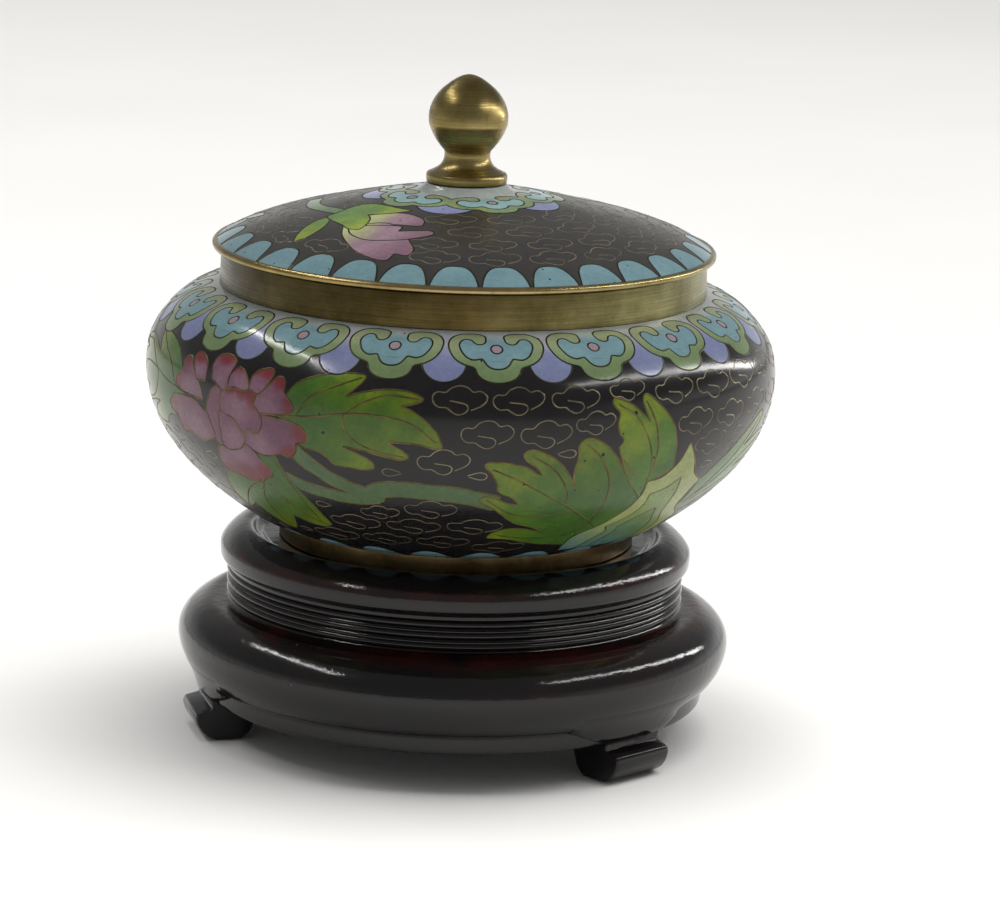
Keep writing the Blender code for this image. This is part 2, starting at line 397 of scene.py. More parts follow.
def wall_chains(links):
    """The links as chains of places, from branch to branch or right round."""
    used = set()
    chains = []
    for start in [v for v in links if len(links[v]) != 2] + list(links):
        for step in links[start]:
            if (start, step) in used:
                continue
            chain = [start]
            before, here = start, step
            while True:
                used.add((before, here))
                used.add((here, before))
                chain.append(here)
                if len(links[here]) != 2 or here == start:
                    break
                a, b = links[here]
                before, here = here, (b if a == before else a)
            chains.append(chain)
    return chains


def resampled(spots, normals):
    """A line in space with its normals, sampled evenly. None if it is too short."""
    run = distances(spots)
    if run[-1] < WIRE_STEP:
        return None
    count = max(int(round(run[-1] / WIRE_STEP)), 2)
    want = np.linspace(0.0, run[-1], count + 1)
    spots = np.stack([np.interp(want, run, column) for column in spots.T], -1)
    normals = np.stack([np.interp(want, run, column) for column in normals.T], -1)
    return spots, unit(normals)


def ribbon(lines, wide):
    """Low rounded wires along lines in space: vertices, faces and which vertices are on top."""
    verts = []
    faces = []
    top = []
    start = 0
    for spots, normals in lines:
        closed = np.linalg.norm(spots[0] - spots[-1]) < 0.01
        if closed:
            spots = spots[:-1]
            normals = normals[:-1]
            along = np.roll(spots, -1, axis=0) - np.roll(spots, 1, axis=0)
        else:
            along = np.gradient(spots, axis=0)
        side = unit(np.cross(normals, along))
        count = len(spots)
        for across, lift in WIRE_SECTION:
            verts.append(spots + side * across * wide + normals * lift * WIRE_HIGH)
            top += [lift > 0.0] * count
        for i in range(count if closed else count - 1):
            j = (i + 1) % count
            for a in (start, start + count, start + 2 * count):
                faces.append((a + i, a + j, a + count + j, a + count + i))
        if not closed:
            end = [start + k * count for k in range(4)]
            faces.append(tuple(end))
            faces.append(tuple(v + count - 1 for v in reversed(end)))
        start += 4 * count
    return np.vstack(verts), faces, np.array(top)


# ---------------------------------------------------------------- mesh objects


def mesh_object(name, verts, faces):
    """An object from vertices in millimetres."""
    mesh = bpy.data.meshes.new(name)
    mesh.from_pydata((np.asarray(verts) * MM).tolist(), [], faces)
    mesh.update()
    obj = bpy.data.objects.new(name, mesh)
    bpy.context.scene.collection.objects.link(obj)
    return obj


def new_piece(name, verts, faces, material, slot, node):
    """A visible piece that rides on the root and stands for a CAD node."""
    obj = mesh_object(name, verts, faces)
    obj.data.materials.append(material)
    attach(obj, "root")
    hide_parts(node)
    return obj


def paint_on(obj, domain, colours):
    """The colours as the piece's paint."""
    rgba = np.ones((len(colours), 4), np.float32)
    rgba[:, :3] = colours
    layer = obj.data.color_attributes.new("paint", "FLOAT_COLOR", domain)
    layer.data.foreach_set("color", rgba.ravel())


def smooth_shaded(obj, degrees):
    """Smooth faces with creases kept sharp."""
    obj.data.polygons.foreach_set("use_smooth", [True] * len(obj.data.polygons))
    obj.data.set_sharp_from_angle(angle=math.radians(degrees))
    obj.data.update()


def enamel_piece(name, spots, normals, corners, paint, *look):
    """One enamel piece: its triangles, their paint and the true surface normals."""
    used, index = np.unique(corners, return_inverse=True)
    obj = new_piece(name, spots[used], index.reshape(-1, 3).tolist(), *look)
    paint_on(obj, "CORNER", paint.reshape(-1, 3))
    obj.data.polygons.foreach_set("use_smooth", [True] * len(corners))
    obj.data.normals_split_custom_set_from_vertices(normals[used].tolist())


def cell_walls(cells, owner, pitted):
    """A number for the wall name of each triangle, -1 in pits."""
    names = {"field": 0}
    walls = np.zeros(len(owner), int)
    for k, cell in enumerate(cells):
        walls[owner == k] = names.setdefault(cell.wall, len(names))
    walls[pitted] = -1
    return walls


def painted(cells, flat, tris, owner, pitted):
    """Corner colours of each triangle, and its zone: 0 field, 1 border, 2 flower."""
    paint = np.zeros((len(tris), 3, 3)) + FIELD
    zones = np.zeros(len(tris), int)
    for k, cell in enumerate(cells):
        mine = np.flatnonzero(owner == k)
        if len(mine):
            corners = flat[tris[mine]].reshape(-1, 2) - (cell.shift, 0.0)
            paint[mine] = cell.paint(corners).reshape(-1, 3, 3)
            zones[mine] = 2 if cell.zone == "flower" else 1
    # The pits get the painted shade colour.
    paint[pitted] = PIT_SHADE
    return paint, zones


def sound(corners):
    """Which triangles have three different corners and are not there twice."""
    whole = (corners != np.roll(corners, 1, axis=1)).all(1)
    _, kept = np.unique(np.sort(corners, axis=1), axis=0, return_index=True)
    single = np.zeros(len(corners), bool)
    single[kept] = True
    return whole & single


def build_enamel(drawing, materials):
    """Turns a drawing into its enamel pieces. Returns its border and flower wires in space."""
    flat, tris, owner, pitted = triangulate(drawing)
    spots, normals = drawing.surface.place(flat)
    place = welded(flat, drawing.surface.plan)
    walls = cell_walls(drawing.cells, owner, pitted)
    facing = np.cross(spots[tris[:, 1]] - spots[tris[:, 0]], spots[tris[:, 2]] - spots[tris[:, 0]])
    backward = (facing * normals[tris[:, 0]]).sum(1) < 0.0
    tris[backward] = tris[backward][:, ::-1]
    paint, zones = painted(drawing.cells, flat, tris, owner, pitted)
    lines = ([], [])
    first, last = drawing.flower_runs
    for chain in wall_chains(wall_links(tris, walls, place)):
        line = resampled(spots[chain], normals[chain])
        run = np.median(drawing.surface.turn_and_run(flat[chain])[1])
        if line:
            lines[int(first < run < last)].append(line)
    for x, y, _ in drawing.pits:
        centre = np.argmin(np.hypot(flat[:, 0] - x, flat[:, 1] - y))
        spots[centre] -= normals[centre] * PIT_DEPTH
    corners = place[tris]
    fine = sound(corners)
    for number, zone in enumerate(("field", "border", "flower")):
        pick = (zones == number) & fine
        name = f"{drawing.part}_{zone}"
        look = (materials[name], f"{drawing.part}_enamel", drawing.node)
        enamel_piece(f"{name}_enamel", spots, normals, corners[pick], paint[pick], *look)
    return lines


def wire_lines(drawing, flat_lines):
    """Flat lines as lines in space."""
    lines = [resampled(*drawing.surface.place(line)) for line in flat_lines]
    return [line for line in lines if line]


def bare_runs(drawing):
    """The parts of the cloud curls that no cell covers."""
    surface = drawing.surface
    runs = []
    for flat in drawing.curls:
        hidden = drawing.covered(flat if surface.plan else wrapped(flat))
        if not surface.plan:
            hidden |= (flat[:, 1] < LINE_GAP) | (flat[:, 1] > surface.length - LINE_GAP)
        cuts = np.flatnonzero(np.diff(hidden.astype(int))) + 1
        pieces = np.split(np.arange(len(flat)), cuts)
        runs += [flat[p] for p in pieces if not hidden[p[0]] and len(p) > 3]
    return runs


def build_covering(drawing, materials, flower_edge):
    """Enamel and wires of a drawing. A wire's sides are darker than its top by the edge factor."""
    border, flower = build_enamel(drawing, materials)
    flower += wire_lines(drawing, drawing.veins)
    curls = wire_lines(drawing, bare_runs(drawing))
    kinds = (
        ("border", border, CELL_WIRE, 0.6),
        ("flower", flower, CELL_WIRE, flower_edge),
        ("cloud", curls, CLOUD_WIRE, 0.6),
    )
    for kind, lines, wide, edge in kinds:
        verts, faces, top = ribbon(lines, wide)
        name = f"{drawing.part}_{kind}_wire"
        look = (materials[name], f"{drawing.part}_enamel", drawing.node)
        wires = new_piece(f"{name}s", verts, faces, *look)
        paint_on(wires, "POINT", np.where(top, 1.0, edge)[:, None])
        smooth_shaded(wires, 60.0)


def turned_mesh(profile, segments):
    """A turned body's vertices and faces. A profile that ends where it starts makes a ring."""
    ring = np.allclose(profile[0], profile[-1])
    turns = 2.0 * np.pi * np.arange(segments) / segments
    verts = []
    rows = []
    for radius, z in profile[:-1] if ring else profile:
        if radius < 1e-6:
            rows.append([len(verts)])
            verts.append((0.0, 0.0, z))
            continue
        rows.append(list(range(len(verts), len(verts) + segments)))
        verts += [(radius * math.sin(t), -radius * math.cos(t), z) for t in turns]
    if ring:
        rows.append(rows[0])
    faces = []
    for a, b in zip(rows, rows[1:]):
        for i in range(segments):
            j = (i + 1) % segments
            corners = (a[i % len(a)], b[i % len(b)], b[j % len(b)], a[j % len(a)])
            faces.append(tuple(dict.fromkeys(corners)))
    return verts, faces


def turned_piece(name, profile, material, slot, node, segments, crease=35.0):
    """A turned piece; its profile runs down its outer side."""
    obj = new_piece(name, *turned_mesh(profile, segments), material, slot, node)
    smooth_shaded(obj, crease)
    return obj


def rounded(points, closed, steps=4):
    """A polyline whose corners with a third value are rounded to that radius."""
    out = []
    count = len(points)
    for i, point in enumerate(points):
        here = np.array(point[:2], float)
        if len(point) < 3:
            out.append(tuple(here))
            continue
        before = np.array(points[i - 1][:2], float) - here
        after = np.array(points[(i + 1) % count][:2], float) - here
        reach = min(point[2], 0.45 * np.linalg.norm(before), 0.45 * np.linalg.norm(after))
        start = here + before / np.linalg.norm(before) * reach
        end = here + after / np.linalg.norm(after) * reach
        for t in np.linspace(0.0, 1.0, steps + 1):
            out.append(tuple((1 - t) ** 2 * start + 2 * t * (1 - t) * here + t * t * end))
    return out + out[:1] if closed else out


# ---------------------------------------------------------------- materials


class Nodes:
    """A node tree, with short calls for its nodes. Inputs take sockets, numbers or colours."""

    def __init__(self, tree):
        self.tree = tree

    def give(self, into, value):
        """Links a socket to an input, or sets its number or colour."""
        if isinstance(value, bpy.types.NodeSocket):
            self.tree.links.new(value, into)
        elif into.type == "RGBA":
            into.default_value = (*value, 1.0)
        else:
            into.default_value = value

    def add(self, kind, inputs=None, **settings):
        """A node with its settings and inputs."""
        node = self.tree.nodes.new(kind)
        for key, value in settings.items():
            setattr(node, key, value)
        for key, value in (inputs or {}).items():
            self.give(node.inputs[key], value)
        return node

    def place(self, scale):
        """Object coordinates, scaled along each axis."""
        source = self.add("ShaderNodeTexCoord").outputs["Object"]
        return self.add("ShaderNodeMapping", {"Vector": source, "Scale": scale}).outputs["Vector"]

    def noise(self, scale, detail=4.0, stretch=(1.0, 1.0, 1.0), rough=0.55):
        """Noise over the object's coordinates."""
        inputs = {"Scale": scale, "Detail": detail, "Roughness": rough, "Vector": self.place(stretch)}
        return self.add("ShaderNodeTexNoise", inputs).outputs["Fac"]

    def ramp(self, factor, *stops):
        """A colour ramp: stops are (position, colour)."""
        node = self.add("ShaderNodeValToRGB", {"Fac": factor})
        elements = node.color_ramp.elements
        for i, (spot, colour) in enumerate(stops):
            element = elements[i] if i < 2 else elements.new(spot)
            element.position = spot
            element.color = (*colour, 1.0)
        return node.outputs["Color"]

    def spread(self, factor, low, high, out_low, out_high, kind="LINEAR"):
        """A factor from low..high mapped to out_low..out_high."""
        inputs = {"Value": factor, "From Min": low, "From Max": high, "To Min": out_low, "To Max": out_high}
        return self.add("ShaderNodeMapRange", inputs, interpolation_type=kind).outputs["Result"]

    def blend(self, factor, a, b, kind="MIX"):
        """Two colours mixed by a factor."""
        inputs = {0: factor, 6: a, 7: b}
        return self.add("ShaderNodeMix", inputs, data_type="RGBA", blend_type=kind).outputs[2]

    def calculate(self, operation, *values):
        """MULTIPLY or MULTIPLY_ADD of the values."""
        return self.add("ShaderNodeMath", dict(enumerate(values)), operation=operation).outputs["Value"]

    def axis(self, name):
        """One of the object's coordinates."""
        return self.add("ShaderNodeSeparateXYZ", {"Vector": self.place((1.0, 1.0, 1.0))}).outputs[name]

    def specks(self, scale, radius, share):
        """1 inside small round spots, on about the given share of the cells, else 0."""
        inputs = {"Scale": scale, "Vector": self.place((1.0, 1.0, 1.0))}
        cells = self.add("ShaderNodeTexVoronoi", inputs)
        spot = self.spread(cells.outputs["Distance"], 0.7 * radius, radius, 1.0, 0.0)
        chosen = self.spread(cells.outputs["Color"], 1.0 - share, 1.01 - share, 0.0, 1.0)
        return self.calculate("MULTIPLY", spot, chosen)


class Look(Nodes):
    """A material with a Principled shader."""

    def __init__(self, name, metallic=0.0, specular=0.5):
        self.material = bpy.data.materials.new(name)
        self.material.use_nodes = True
        super().__init__(self.material.node_tree)
        self.shader = self.tree.nodes["Principled BSDF"]
        self.shader.inputs["Metallic"].default_value = metallic
        self.shader.inputs["Specular IOR Level"].default_value = specular

    def paint(self):
        """The colours painted on the piece."""
        return self.add("ShaderNodeVertexColor", layer_name="paint").outputs["Color"]

    def bump(self, factor, distance, strength):
        """Fine relief from a factor, over any relief already there."""
        inputs = {"Distance": distance, "Strength": strength, "Height": factor}
        into = self.shader.inputs["Normal"]
        if into.is_linked:
            inputs["Normal"] = into.links[0].from_socket
        self.give(into, self.add("ShaderNodeBump", inputs).outputs["Normal"])

    def made(self, colour, roughness):
        """The material, with its colour and roughness."""
        self.give(self.shader.inputs["Base Color"], colour)
        self.give(self.shader.inputs["Roughness"], roughness)
        return self.material


def enamel_material(name, base_roughness, mottle, speck, gloss, dust_and_sheen=0.0):
    """Polished enamel: mottled paint with pinholes and marks, duller low on the bowl, dust and painted sheen
    if wanted.
    """
    look = Look(name, specular=gloss)
    colour = look.paint()
    for scale, detail, part in ((260.0, 5.0, mottle), (1500.0, 3.0, 0.8 * mottle)):
        dark = (1.0 - part, 1.0 - part, 1.0 - 0.7 * part)
        light = (1.0 + part, 1.0 + part, 1.0 + 0.7 * part)
        cloudy = look.ramp(look.noise(scale, detail), (0.25, dark), (0.75, light))
        colour = look.blend(1.0, colour, cloudy, "MULTIPLY")
    colour = look.blend(look.specks(700.0, 0.11, speck), colour, (0.15, 0.14, 0.12))
    colour = look.blend(look.specks(480.0, 0.11, 0.3), colour, (0.010, 0.009, 0.008))
    # A pale film, partly dust and partly painted sheen standing in for the reflection on the lid's field.
    if dust_and_sheen:
        dust_sheen_film = look.spread(look.noise(90.0, 6.0, rough=0.7), 0.3, 0.7, 0.7 * dust_and_sheen, 1.3 * dust_and_sheen)
        colour = look.blend(dust_sheen_film, colour, (0.42, 0.41, 0.36))
    wear = look.noise(70.0, 6.0, rough=0.7)
    rough = look.spread(wear, 0.3, 0.7, base_roughness * 0.75, base_roughness * 1.4)
    low_down = look.spread(look.axis("Z"), 0.043, 0.057, 2.1, 1.0)
    look.bump(look.noise(160.0, 4.0), 0.00004, 0.5)
    look.bump(look.noise(900.0, 3.0), 0.000012, 0.5)
    return look.made(colour, look.calculate("MULTIPLY", rough, low_down))


def brass_material(name, dark, light, roughness, *sides):
    """Turned brass: fine lathe rings, random tarnish, small marks, and painted side light if sides are given.
    """
    look = Look(name, metallic=1.0)
    rings = look.noise(1.0, 6.0, (60.0, 60.0, 5200.0), 0.65)
    tarnish = look.ramp(look.noise(120.0, 5.0, rough=0.65), (0.30, dark), (0.70, light))
    lines = look.ramp(rings, (0.35, (0.62, 0.60, 0.56)), (0.62, (1.0, 1.0, 1.0)))
    colour = look.blend(0.75, tarnish, lines, "MULTIPLY")
    if sides:
        # Painted light and shade: the colour stops run from the left side (-X) to the right, with a little
        # noise.
        even = look.spread(look.axis("X"), -0.042, 0.042, 0.0, 0.9)
        painted_side_light = look.calculate("MULTIPLY_ADD", look.noise(45.0, 4.0), 0.2, even)
        colour = look.blend(1.0, colour, look.ramp(painted_side_light, *sides), "MULTIPLY")
    spots = look.spread(look.noise(420.0, 3.0), 0.66, 0.74, 0.0, 0.7)
    colour = look.blend(spots, colour, tuple(0.25 * c for c in dark))
    look.bump(rings, 0.00003, 0.5)
    return look.made(colour, look.spread(rings, 0.3, 0.7, roughness * 1.25, roughness * 0.8))


def wire_material(name, dark, light, roughness, metallic=0.85):
    """Polished cloison wire, cleaner in some places than in others."""
    look = Look(name, metallic)
    patina = look.noise(300.0, 4.0, rough=0.6)
    metal = look.ramp(patina, (0.32, dark), (0.68, light))
    rough = look.spread(patina, 0.3, 0.7, roughness * 1.2, roughness * 0.85)
    return look.made(look.blend(1.0, metal, look.paint(), "MULTIPLY"), rough)


def lining_material():
    """Plain turquoise counter-enamel with a slight orange-peel skin."""
    look = Look("counter_enamel")
    cloud = look.noise(140.0, 5.0)
    colour = look.ramp(cloud, (0.3, srgb(70, 140, 155)), (0.7, srgb(98, 168, 178)))
    look.bump(look.noise(420.0, 3.0), 0.0001, 0.5)
    return look.made(colour, look.spread(cloud, 0.3, 0.7, 0.16, 0.30))


def lacquer_material():
    """Black glossy lacquer, reddish where it is thin, with brush marks, wood pores and dust."""
    look = Look("stand_lacquer_gloss", specular=0.39)
    black, brown, red = (0.0050, 0.0047, 0.0050), (0.0065, 0.0052, 0.0052), (0.0150, 0.0066, 0.0060)
    thin = look.noise(55.0, 6.0, (1.0, 1.0, 2.0), 0.62)
    colour = look.ramp(thin, (0.30, black), (0.55, brown), (0.78, red))
    none, full = (0.0, 0.0, 0.0), (1.0, 1.0, 1.0)
    # Reddish bands at two heights, round the upper roll's shoulder and where the waist meets the base, broken
    # up by noise.
    heights = ((0.565, none), (0.60, full), (0.64, none), (0.865, none), (0.89, full), (0.915, none))
    red_bands = look.ramp(look.spread(look.axis("Z"), 0.0, 0.036, 0.0, 1.0), *heights)
    patchy = look.ramp(look.noise(160.0, 5.0, rough=0.65), (0.40, none), (0.62, full))
    colour = look.blend(look.blend(1.0, red_bands, patchy, "MULTIPLY"), colour, (0.034, 0.0065, 0.0055))
    grain = look.noise(1.0, 5.0, (900.0, 110.0, 900.0), 0.6)
    colour = look.blend(look.spread(grain, 0.60, 0.74, 0.0, 0.6), colour, (0.0010, 0.0008, 0.0008))
    colour = look.blend(look.specks(360.0, 0.055, 0.2), colour, (0.16, 0.155, 0.145))
    look.bump(look.noise(400.0, 3.0, (1.0, 1.0, 1.4)), 0.00010, 0.4)
    look.bump(look.noise(900.0, 3.0, rough=0.6), 0.00005, 0.7)
    look.bump(grain, 0.00003, 0.35)
    return look.made(colour, look.spread(look.noise(85.0, 6.0, rough=0.7), 0.3, 0.75, 0.07, 0.16))


# ---------------------------------------------------------------- colours and paints

FIELD = srgb(21, 19, 20)
RING = srgb(138, 144, 141)
GAP_PINK = srgb(131, 129, 139)
LAVENDER = srgb(100, 107, 138)
TURQUOISE = srgb(93, 122, 129)
TURQUOISE_PALE = srgb(115, 146, 148)
SAGE = srgb(92, 110, 75)
SAGE_PALE = srgb(116, 125, 96)
DOT = srgb(126, 112, 118)
LEAF = srgb(54, 84, 29)
LEAF_MID = srgb(68, 94, 23)
LEAF_TIP = srgb(89, 105, 21)
STEM = srgb(68, 90, 55)
PETAL = srgb(103, 67, 84)
PETAL_PALE = srgb(118, 87, 102)
PETAL_RED = srgb(101, 40, 45)
FLOWER_PALE = srgb(136, 146, 87)
FLOWER_MID = srgb(111, 129, 69)
FLOWER_IN = srgb(95, 120, 62)
TEAL = srgb(74, 108, 106)
# Near-black paint in the pits: painted shade in their hollows.
PIT_SHADE = srgb(13, 11, 9)
BUD_CREAM = srgb(148, 151, 105)
BUD_PINK = srgb(128, 103, 116)
BUD_TIP = srgb(107, 79, 93)
LID_GREEN = np.array((1.30, 1.19, 2.3))


def downwards(p):
    """How far below the mouth the points are."""
    return p[:, 1]


def outwards(p):
    """How far from the lid's middle the points are."""
    return np.hypot(p[:, 0], p[:, 1])


def from_to(start, end):
    """A measure that is 0 at the start and 1 at the end of a line."""
    line = np.array(end, float) - start
    return lambda p: ((p - start) @ line) / (line @ line)


def shaded(measure, colour, *steps):
    """One colour, with each step (colour, low, high) blended in as the measure passes low to high."""

    def paint(p):
        made = np.zeros((len(p), 3)) + colour
        for next_colour, low, high in steps:
            made = mix(made, next_colour, ease(measure(p), low, high))
        return made

    return paint


def plain(colour):
    """One colour all over the cell."""
    return shaded(downwards, colour)


def leaf_paint(tips, gain, reach=10.0):
    """Yellow-green towards the leaf's tips, green at its base, unevenly blended."""

    def paint(p):
        spots = np.array(tips)
        x, y = p.T
        away = np.min(np.hypot(x[:, None] - spots[:, 0], y[:, None] - spots[:, 1]), axis=1)
        away += 1.1 * np.sin(0.9 * x + 0.7 * y) + 0.8 * np.sin(1.7 * y - 0.8 * x)
        away += 0.5 * np.sin(2.9 * x + 1.3 * y)
        near = 1.0 - np.clip(away / reach, 0.0, 1.0)
        body = mix(LEAF, LEAF_MID, near / 0.55)
        return gain * mix(body, LEAF_TIP, ease(near, 0.45, 1.0))

    return paint


def petal_paint(reds, pale):
    """Pink petal with red lobes at reds (x, y, radius), paler round the pale spot."""

    def paint(p):
        away = np.hypot(p[:, 0] - pale[0], p[:, 1] - pale[1])
        red = np.zeros(len(p))
        for x, y, radius in reds:
            d = np.hypot(p[:, 0] - x, p[:, 1] - y)
            red = np.maximum(red, 1.0 - ease(d, 0.75 * radius, 1.45 * radius))
        return mix(mix(PETAL_PALE, PETAL, ease(away, 0.5, 4.0)), PETAL_RED, red)

    return paint


BAND_PAINT = shaded(downwards, RING, (GAP_PINK, 1.2, 3.6), (LAVENDER, 4.2, 7.6))
SAGE_PAINT = shaded(downwards, SAGE_PALE, (SAGE, 3.5, 10.0))
CORE_PAINT = shaded(downwards, RING, (TURQUOISE, 1.4, 4.4))
LID_BAND_PAINT = shaded(outwards, RING, (LAVENDER * 1.2, 9.0, 12.5))
LID_SAGE_PAINT = shaded(outwards, SAGE_PALE, (SAGE * 1.15, 9.0, 15.0))
LID_CORE_PAINT = shaded(outwards, RING, (TURQUOISE_PALE, 8.2, 11.0))


# ---------------------------------------------------------------- drawing: borders

LAPPET_OUT = [
    (0, 12.3), (1.3, 12.15), (2.6, 11.6), (3.4, 10.7), (3.67, 9.85, 1), (4.1, 9.5), (5.6, 9), (7, 8),
    (7.95, 6.4), (8.3, 4.7), (8, 3.2), (7.2, 2.1), (6.1, 1.45), (4.7, 1.2), (3.3, 1.3), (2.3, 1.65),
    (1.7, 2.3), (1.53, 3.07),
]
LAPPET_IN = [
    (1.74, 3.85), (2.17, 4.43), (2.9, 4.7), (3.6, 4.43), (4.03, 3.8), (4.45, 3.3), (5.2, 3.15),
    (5.95, 3.55), (6.35, 4.45), (6.35, 5.3), (5.95, 6.43), (5.2, 7.5), (4.2, 8.07), (3.3, 8),
    (2.6, 7.8, 1), (2.2, 8.43), (1.75, 9.15), (1.05, 9.65), (0, 9.85),
]
BAND_PITCH = math.radians(20.0) * SHEET_R
BAND_FIRST = math.radians(6.9) * SHEET_R
BAND_LOW = 8.3
GAP_Y, GAP_R = 8.75, 3.6
DOT_Y, DOT_R = 5.75, 1.02
BOWL_SCALLOPS = 25
BOWL_SCALLOP_FIRST = math.radians(-7.2) * SHEET_R
BOWL_SCALLOP = [(5.9, 1.5, 1), (5.6, -0.4), (4.9, -1.95), (3.8, -3.45), (2.4, -4.5), (1.2, -4.95), (0, -5.1)]
LID_SCALLOPS = 31
LID_SCALLOP_FIRST = -2.1
LID_SCALLOP = [
    (4.6, 1.2, 1), (4.22, 0), (4, -0.8), (3.8, -1.5), (3.38, -2.7), (2.74, -4), (1.9, -5), (1.06, -5.41),
    (0, -5.5),
]
LID_HEADS = 5
LID_HEAD_FIRST = 22.0
LID_HEAD_SIZE = (0.93, 0.78)
LID_HEAD_RUN = 7.1
LID_PALE_R = 10.4
LID_GAP_RUN, LID_GAP_R = 12.4, 5.2
LID_DOT_RUN, LID_DOT_R = 11.7, 0.9


def lappet_shapes():
    """A ruyi head: the sage scroll, and the cell inside it that runs on to the mouth."""
    half = LAPPET_OUT + LAPPET_IN
    other = mirrored(half, 0.0)[::-1]
    scroll = outline(half + other[1:-1])
    core = outline(LAPPET_IN + mirrored(LAPPET_IN, 0.0)[::-1][1:] + [(-1.6, 0.8, 1), (1.6, 0.8, 1)])
    return scroll, core


def arch(half, edge):
    """A scallop on the drawing's edge from its right half, which ends at the top."""
    side = moved(half, 0.0, edge)
    return mirrored(side, 0.0)[:-1] + side[::-1]


def draw_bowl_borders(drawing):
    """Ruyi heads under the mouth and scallops above the foot."""
    left, right = SEAM_X - 2.0, SEAM_X + ROUND + 2.0
    ring = np.array([(left, -1.0), (right, -1.0), (right, BAND_LOW), (left, BAND_LOW)])
    drawing.cells.append(Cell(ring, BAND_PAINT, "band", "border", 0.0))
    scroll, core = lappet_shapes()
    centres = [BAND_FIRST + BAND_PITCH * k for k in range(-9, 9)]
    for x in centres:
        gap = circle(x + 0.5 * BAND_PITCH, GAP_Y, GAP_R, 44)
        drawing.fill(gap, BAND_PAINT, "band", "border")
    for x in centres:
        drawing.fill(scroll + (x, 0.0), SAGE_PAINT, "sage", "border")
        drawing.fill(core + (x, 0.0), CORE_PAINT, "band", "border")
        drawing.fill(circle(x, DOT_Y, DOT_R, 18), plain(DOT), "dot", "border")
    scallop = arch(BOWL_SCALLOP, drawing.surface.length)
    for k in range(BOWL_SCALLOPS):
        x = BOWL_SCALLOP_FIRST + ROUND / BOWL_SCALLOPS * (k - 12)
        shape = outline(moved(scallop, x, 0.0))
        # The low scallops are a copy of the turquoise painted 1.28 times lighter: painted light lifting them
        # from the shade under the bowl.
        drawing.fill(shape, plain(TURQUOISE * 1.28), f"scallop{k % 2}", "rim")


def draw_lid_borders(drawing):
    """Ruyi heads round the knob, with lavender between them, and scallops along the edge."""
    drawing.fill(circle(0.0, 0.0, LID_PALE_R, 72), LID_BAND_PAINT, "band", "border")
    pitch = 2.0 * math.pi / LID_HEADS
    turns = [math.radians(LID_HEAD_FIRST) + pitch * k for k in range(LID_HEADS)]
    for turn in turns:
        middle = rotated([(0.0, LID_GAP_RUN)], turn + 0.5 * pitch)[0]
        drawing.fill(circle(*middle, LID_GAP_R, 44), LID_BAND_PAINT, "band", "border")
    scroll, core = lappet_shapes()
    for turn in turns:
        for shape, rule, wall in ((scroll, LID_SAGE_PAINT, "sage"), (core, LID_CORE_PAINT, "band")):
            head = shape * LID_HEAD_SIZE + (0.0, LID_HEAD_RUN)
            drawing.fill(rotated(head.tolist(), turn), rule, wall, "border")
        dot = rotated([(0.0, LID_DOT_RUN)], turn)[0]
        drawing.fill(circle(*dot, LID_DOT_R, 18), plain(DOT), "dot", "border")
    scallop = arch(LID_SCALLOP, drawing.surface.length)
    for k in range(LID_SCALLOPS):
        turn = math.radians(LID_SCALLOP_FIRST + 360.0 * k / LID_SCALLOPS)
        drawing.fill(outline(rotated(scallop, turn)), plain(TURQUOISE), f"scallop{k}", "rim")


# ---------------------------------------------------------------- drawing: bowl

TRI_LEAF = [
    (-28.5, 21, 1), (-27.6, 17), (-25.8, 14.5), (-23.3, 13.1), (-19.8, 12.1), (-16.8, 11.8), (-14.9, 12),
    (-15.1, 13.1), (-16.3, 14.5), (-17.5, 15.8, 1), (-15.5, 15), (-12.8, 14.3), (-9.8, 14), (-7.3, 14.3),
    (-5.5, 15.2), (-6.3, 15.9), (-8.8, 16.6, 1), (-6.8, 17.3), (-4.3, 19.3), (-3, 21), (-2.5, 23),
    (-3.6, 23.2), (-6.3, 22.6), (-10.8, 22.5, 1), (-9.3, 23.4), (-7.8, 24.3), (-7.5, 25.1), (-9, 25.5),
    (-11.8, 25), (-14.8, 24.3), (-17.8, 23.9, 1), (-16.3, 24.6), (-14.3, 25.5), (-13.1, 26.5),
    (-13.3, 27.6), (-15.8, 27.8), (-19.3, 27.5), (-20.5, 26.3), (-22.3, 25.3), (-25, 24.8),
]
TRI_TIPS = [(-15, 12.3), (-6, 15.2), (-3.2, 22.6), (-8.2, 25), (-14.2, 27)]
TRI_VEINS = [
    [(-29, 20.4), (-26.3, 20), (-22.3, 19.5), (-17.3, 18.5), (-12.3, 18.3), (-7.3, 19.3), (-3.4, 22.2)],
    [(-25.6, 19.9), (-23.3, 16.5), (-19.8, 14.5), (-15.4, 12.4)],
    [(-17.3, 18.5), (-14.3, 16.3), (-10.8, 15), (-6.1, 15.4)],
    [(-17.6, 18.6), (-17.8, 20), (-16.3, 22.5), (-12.8, 24.2), (-8.2, 25)],
]
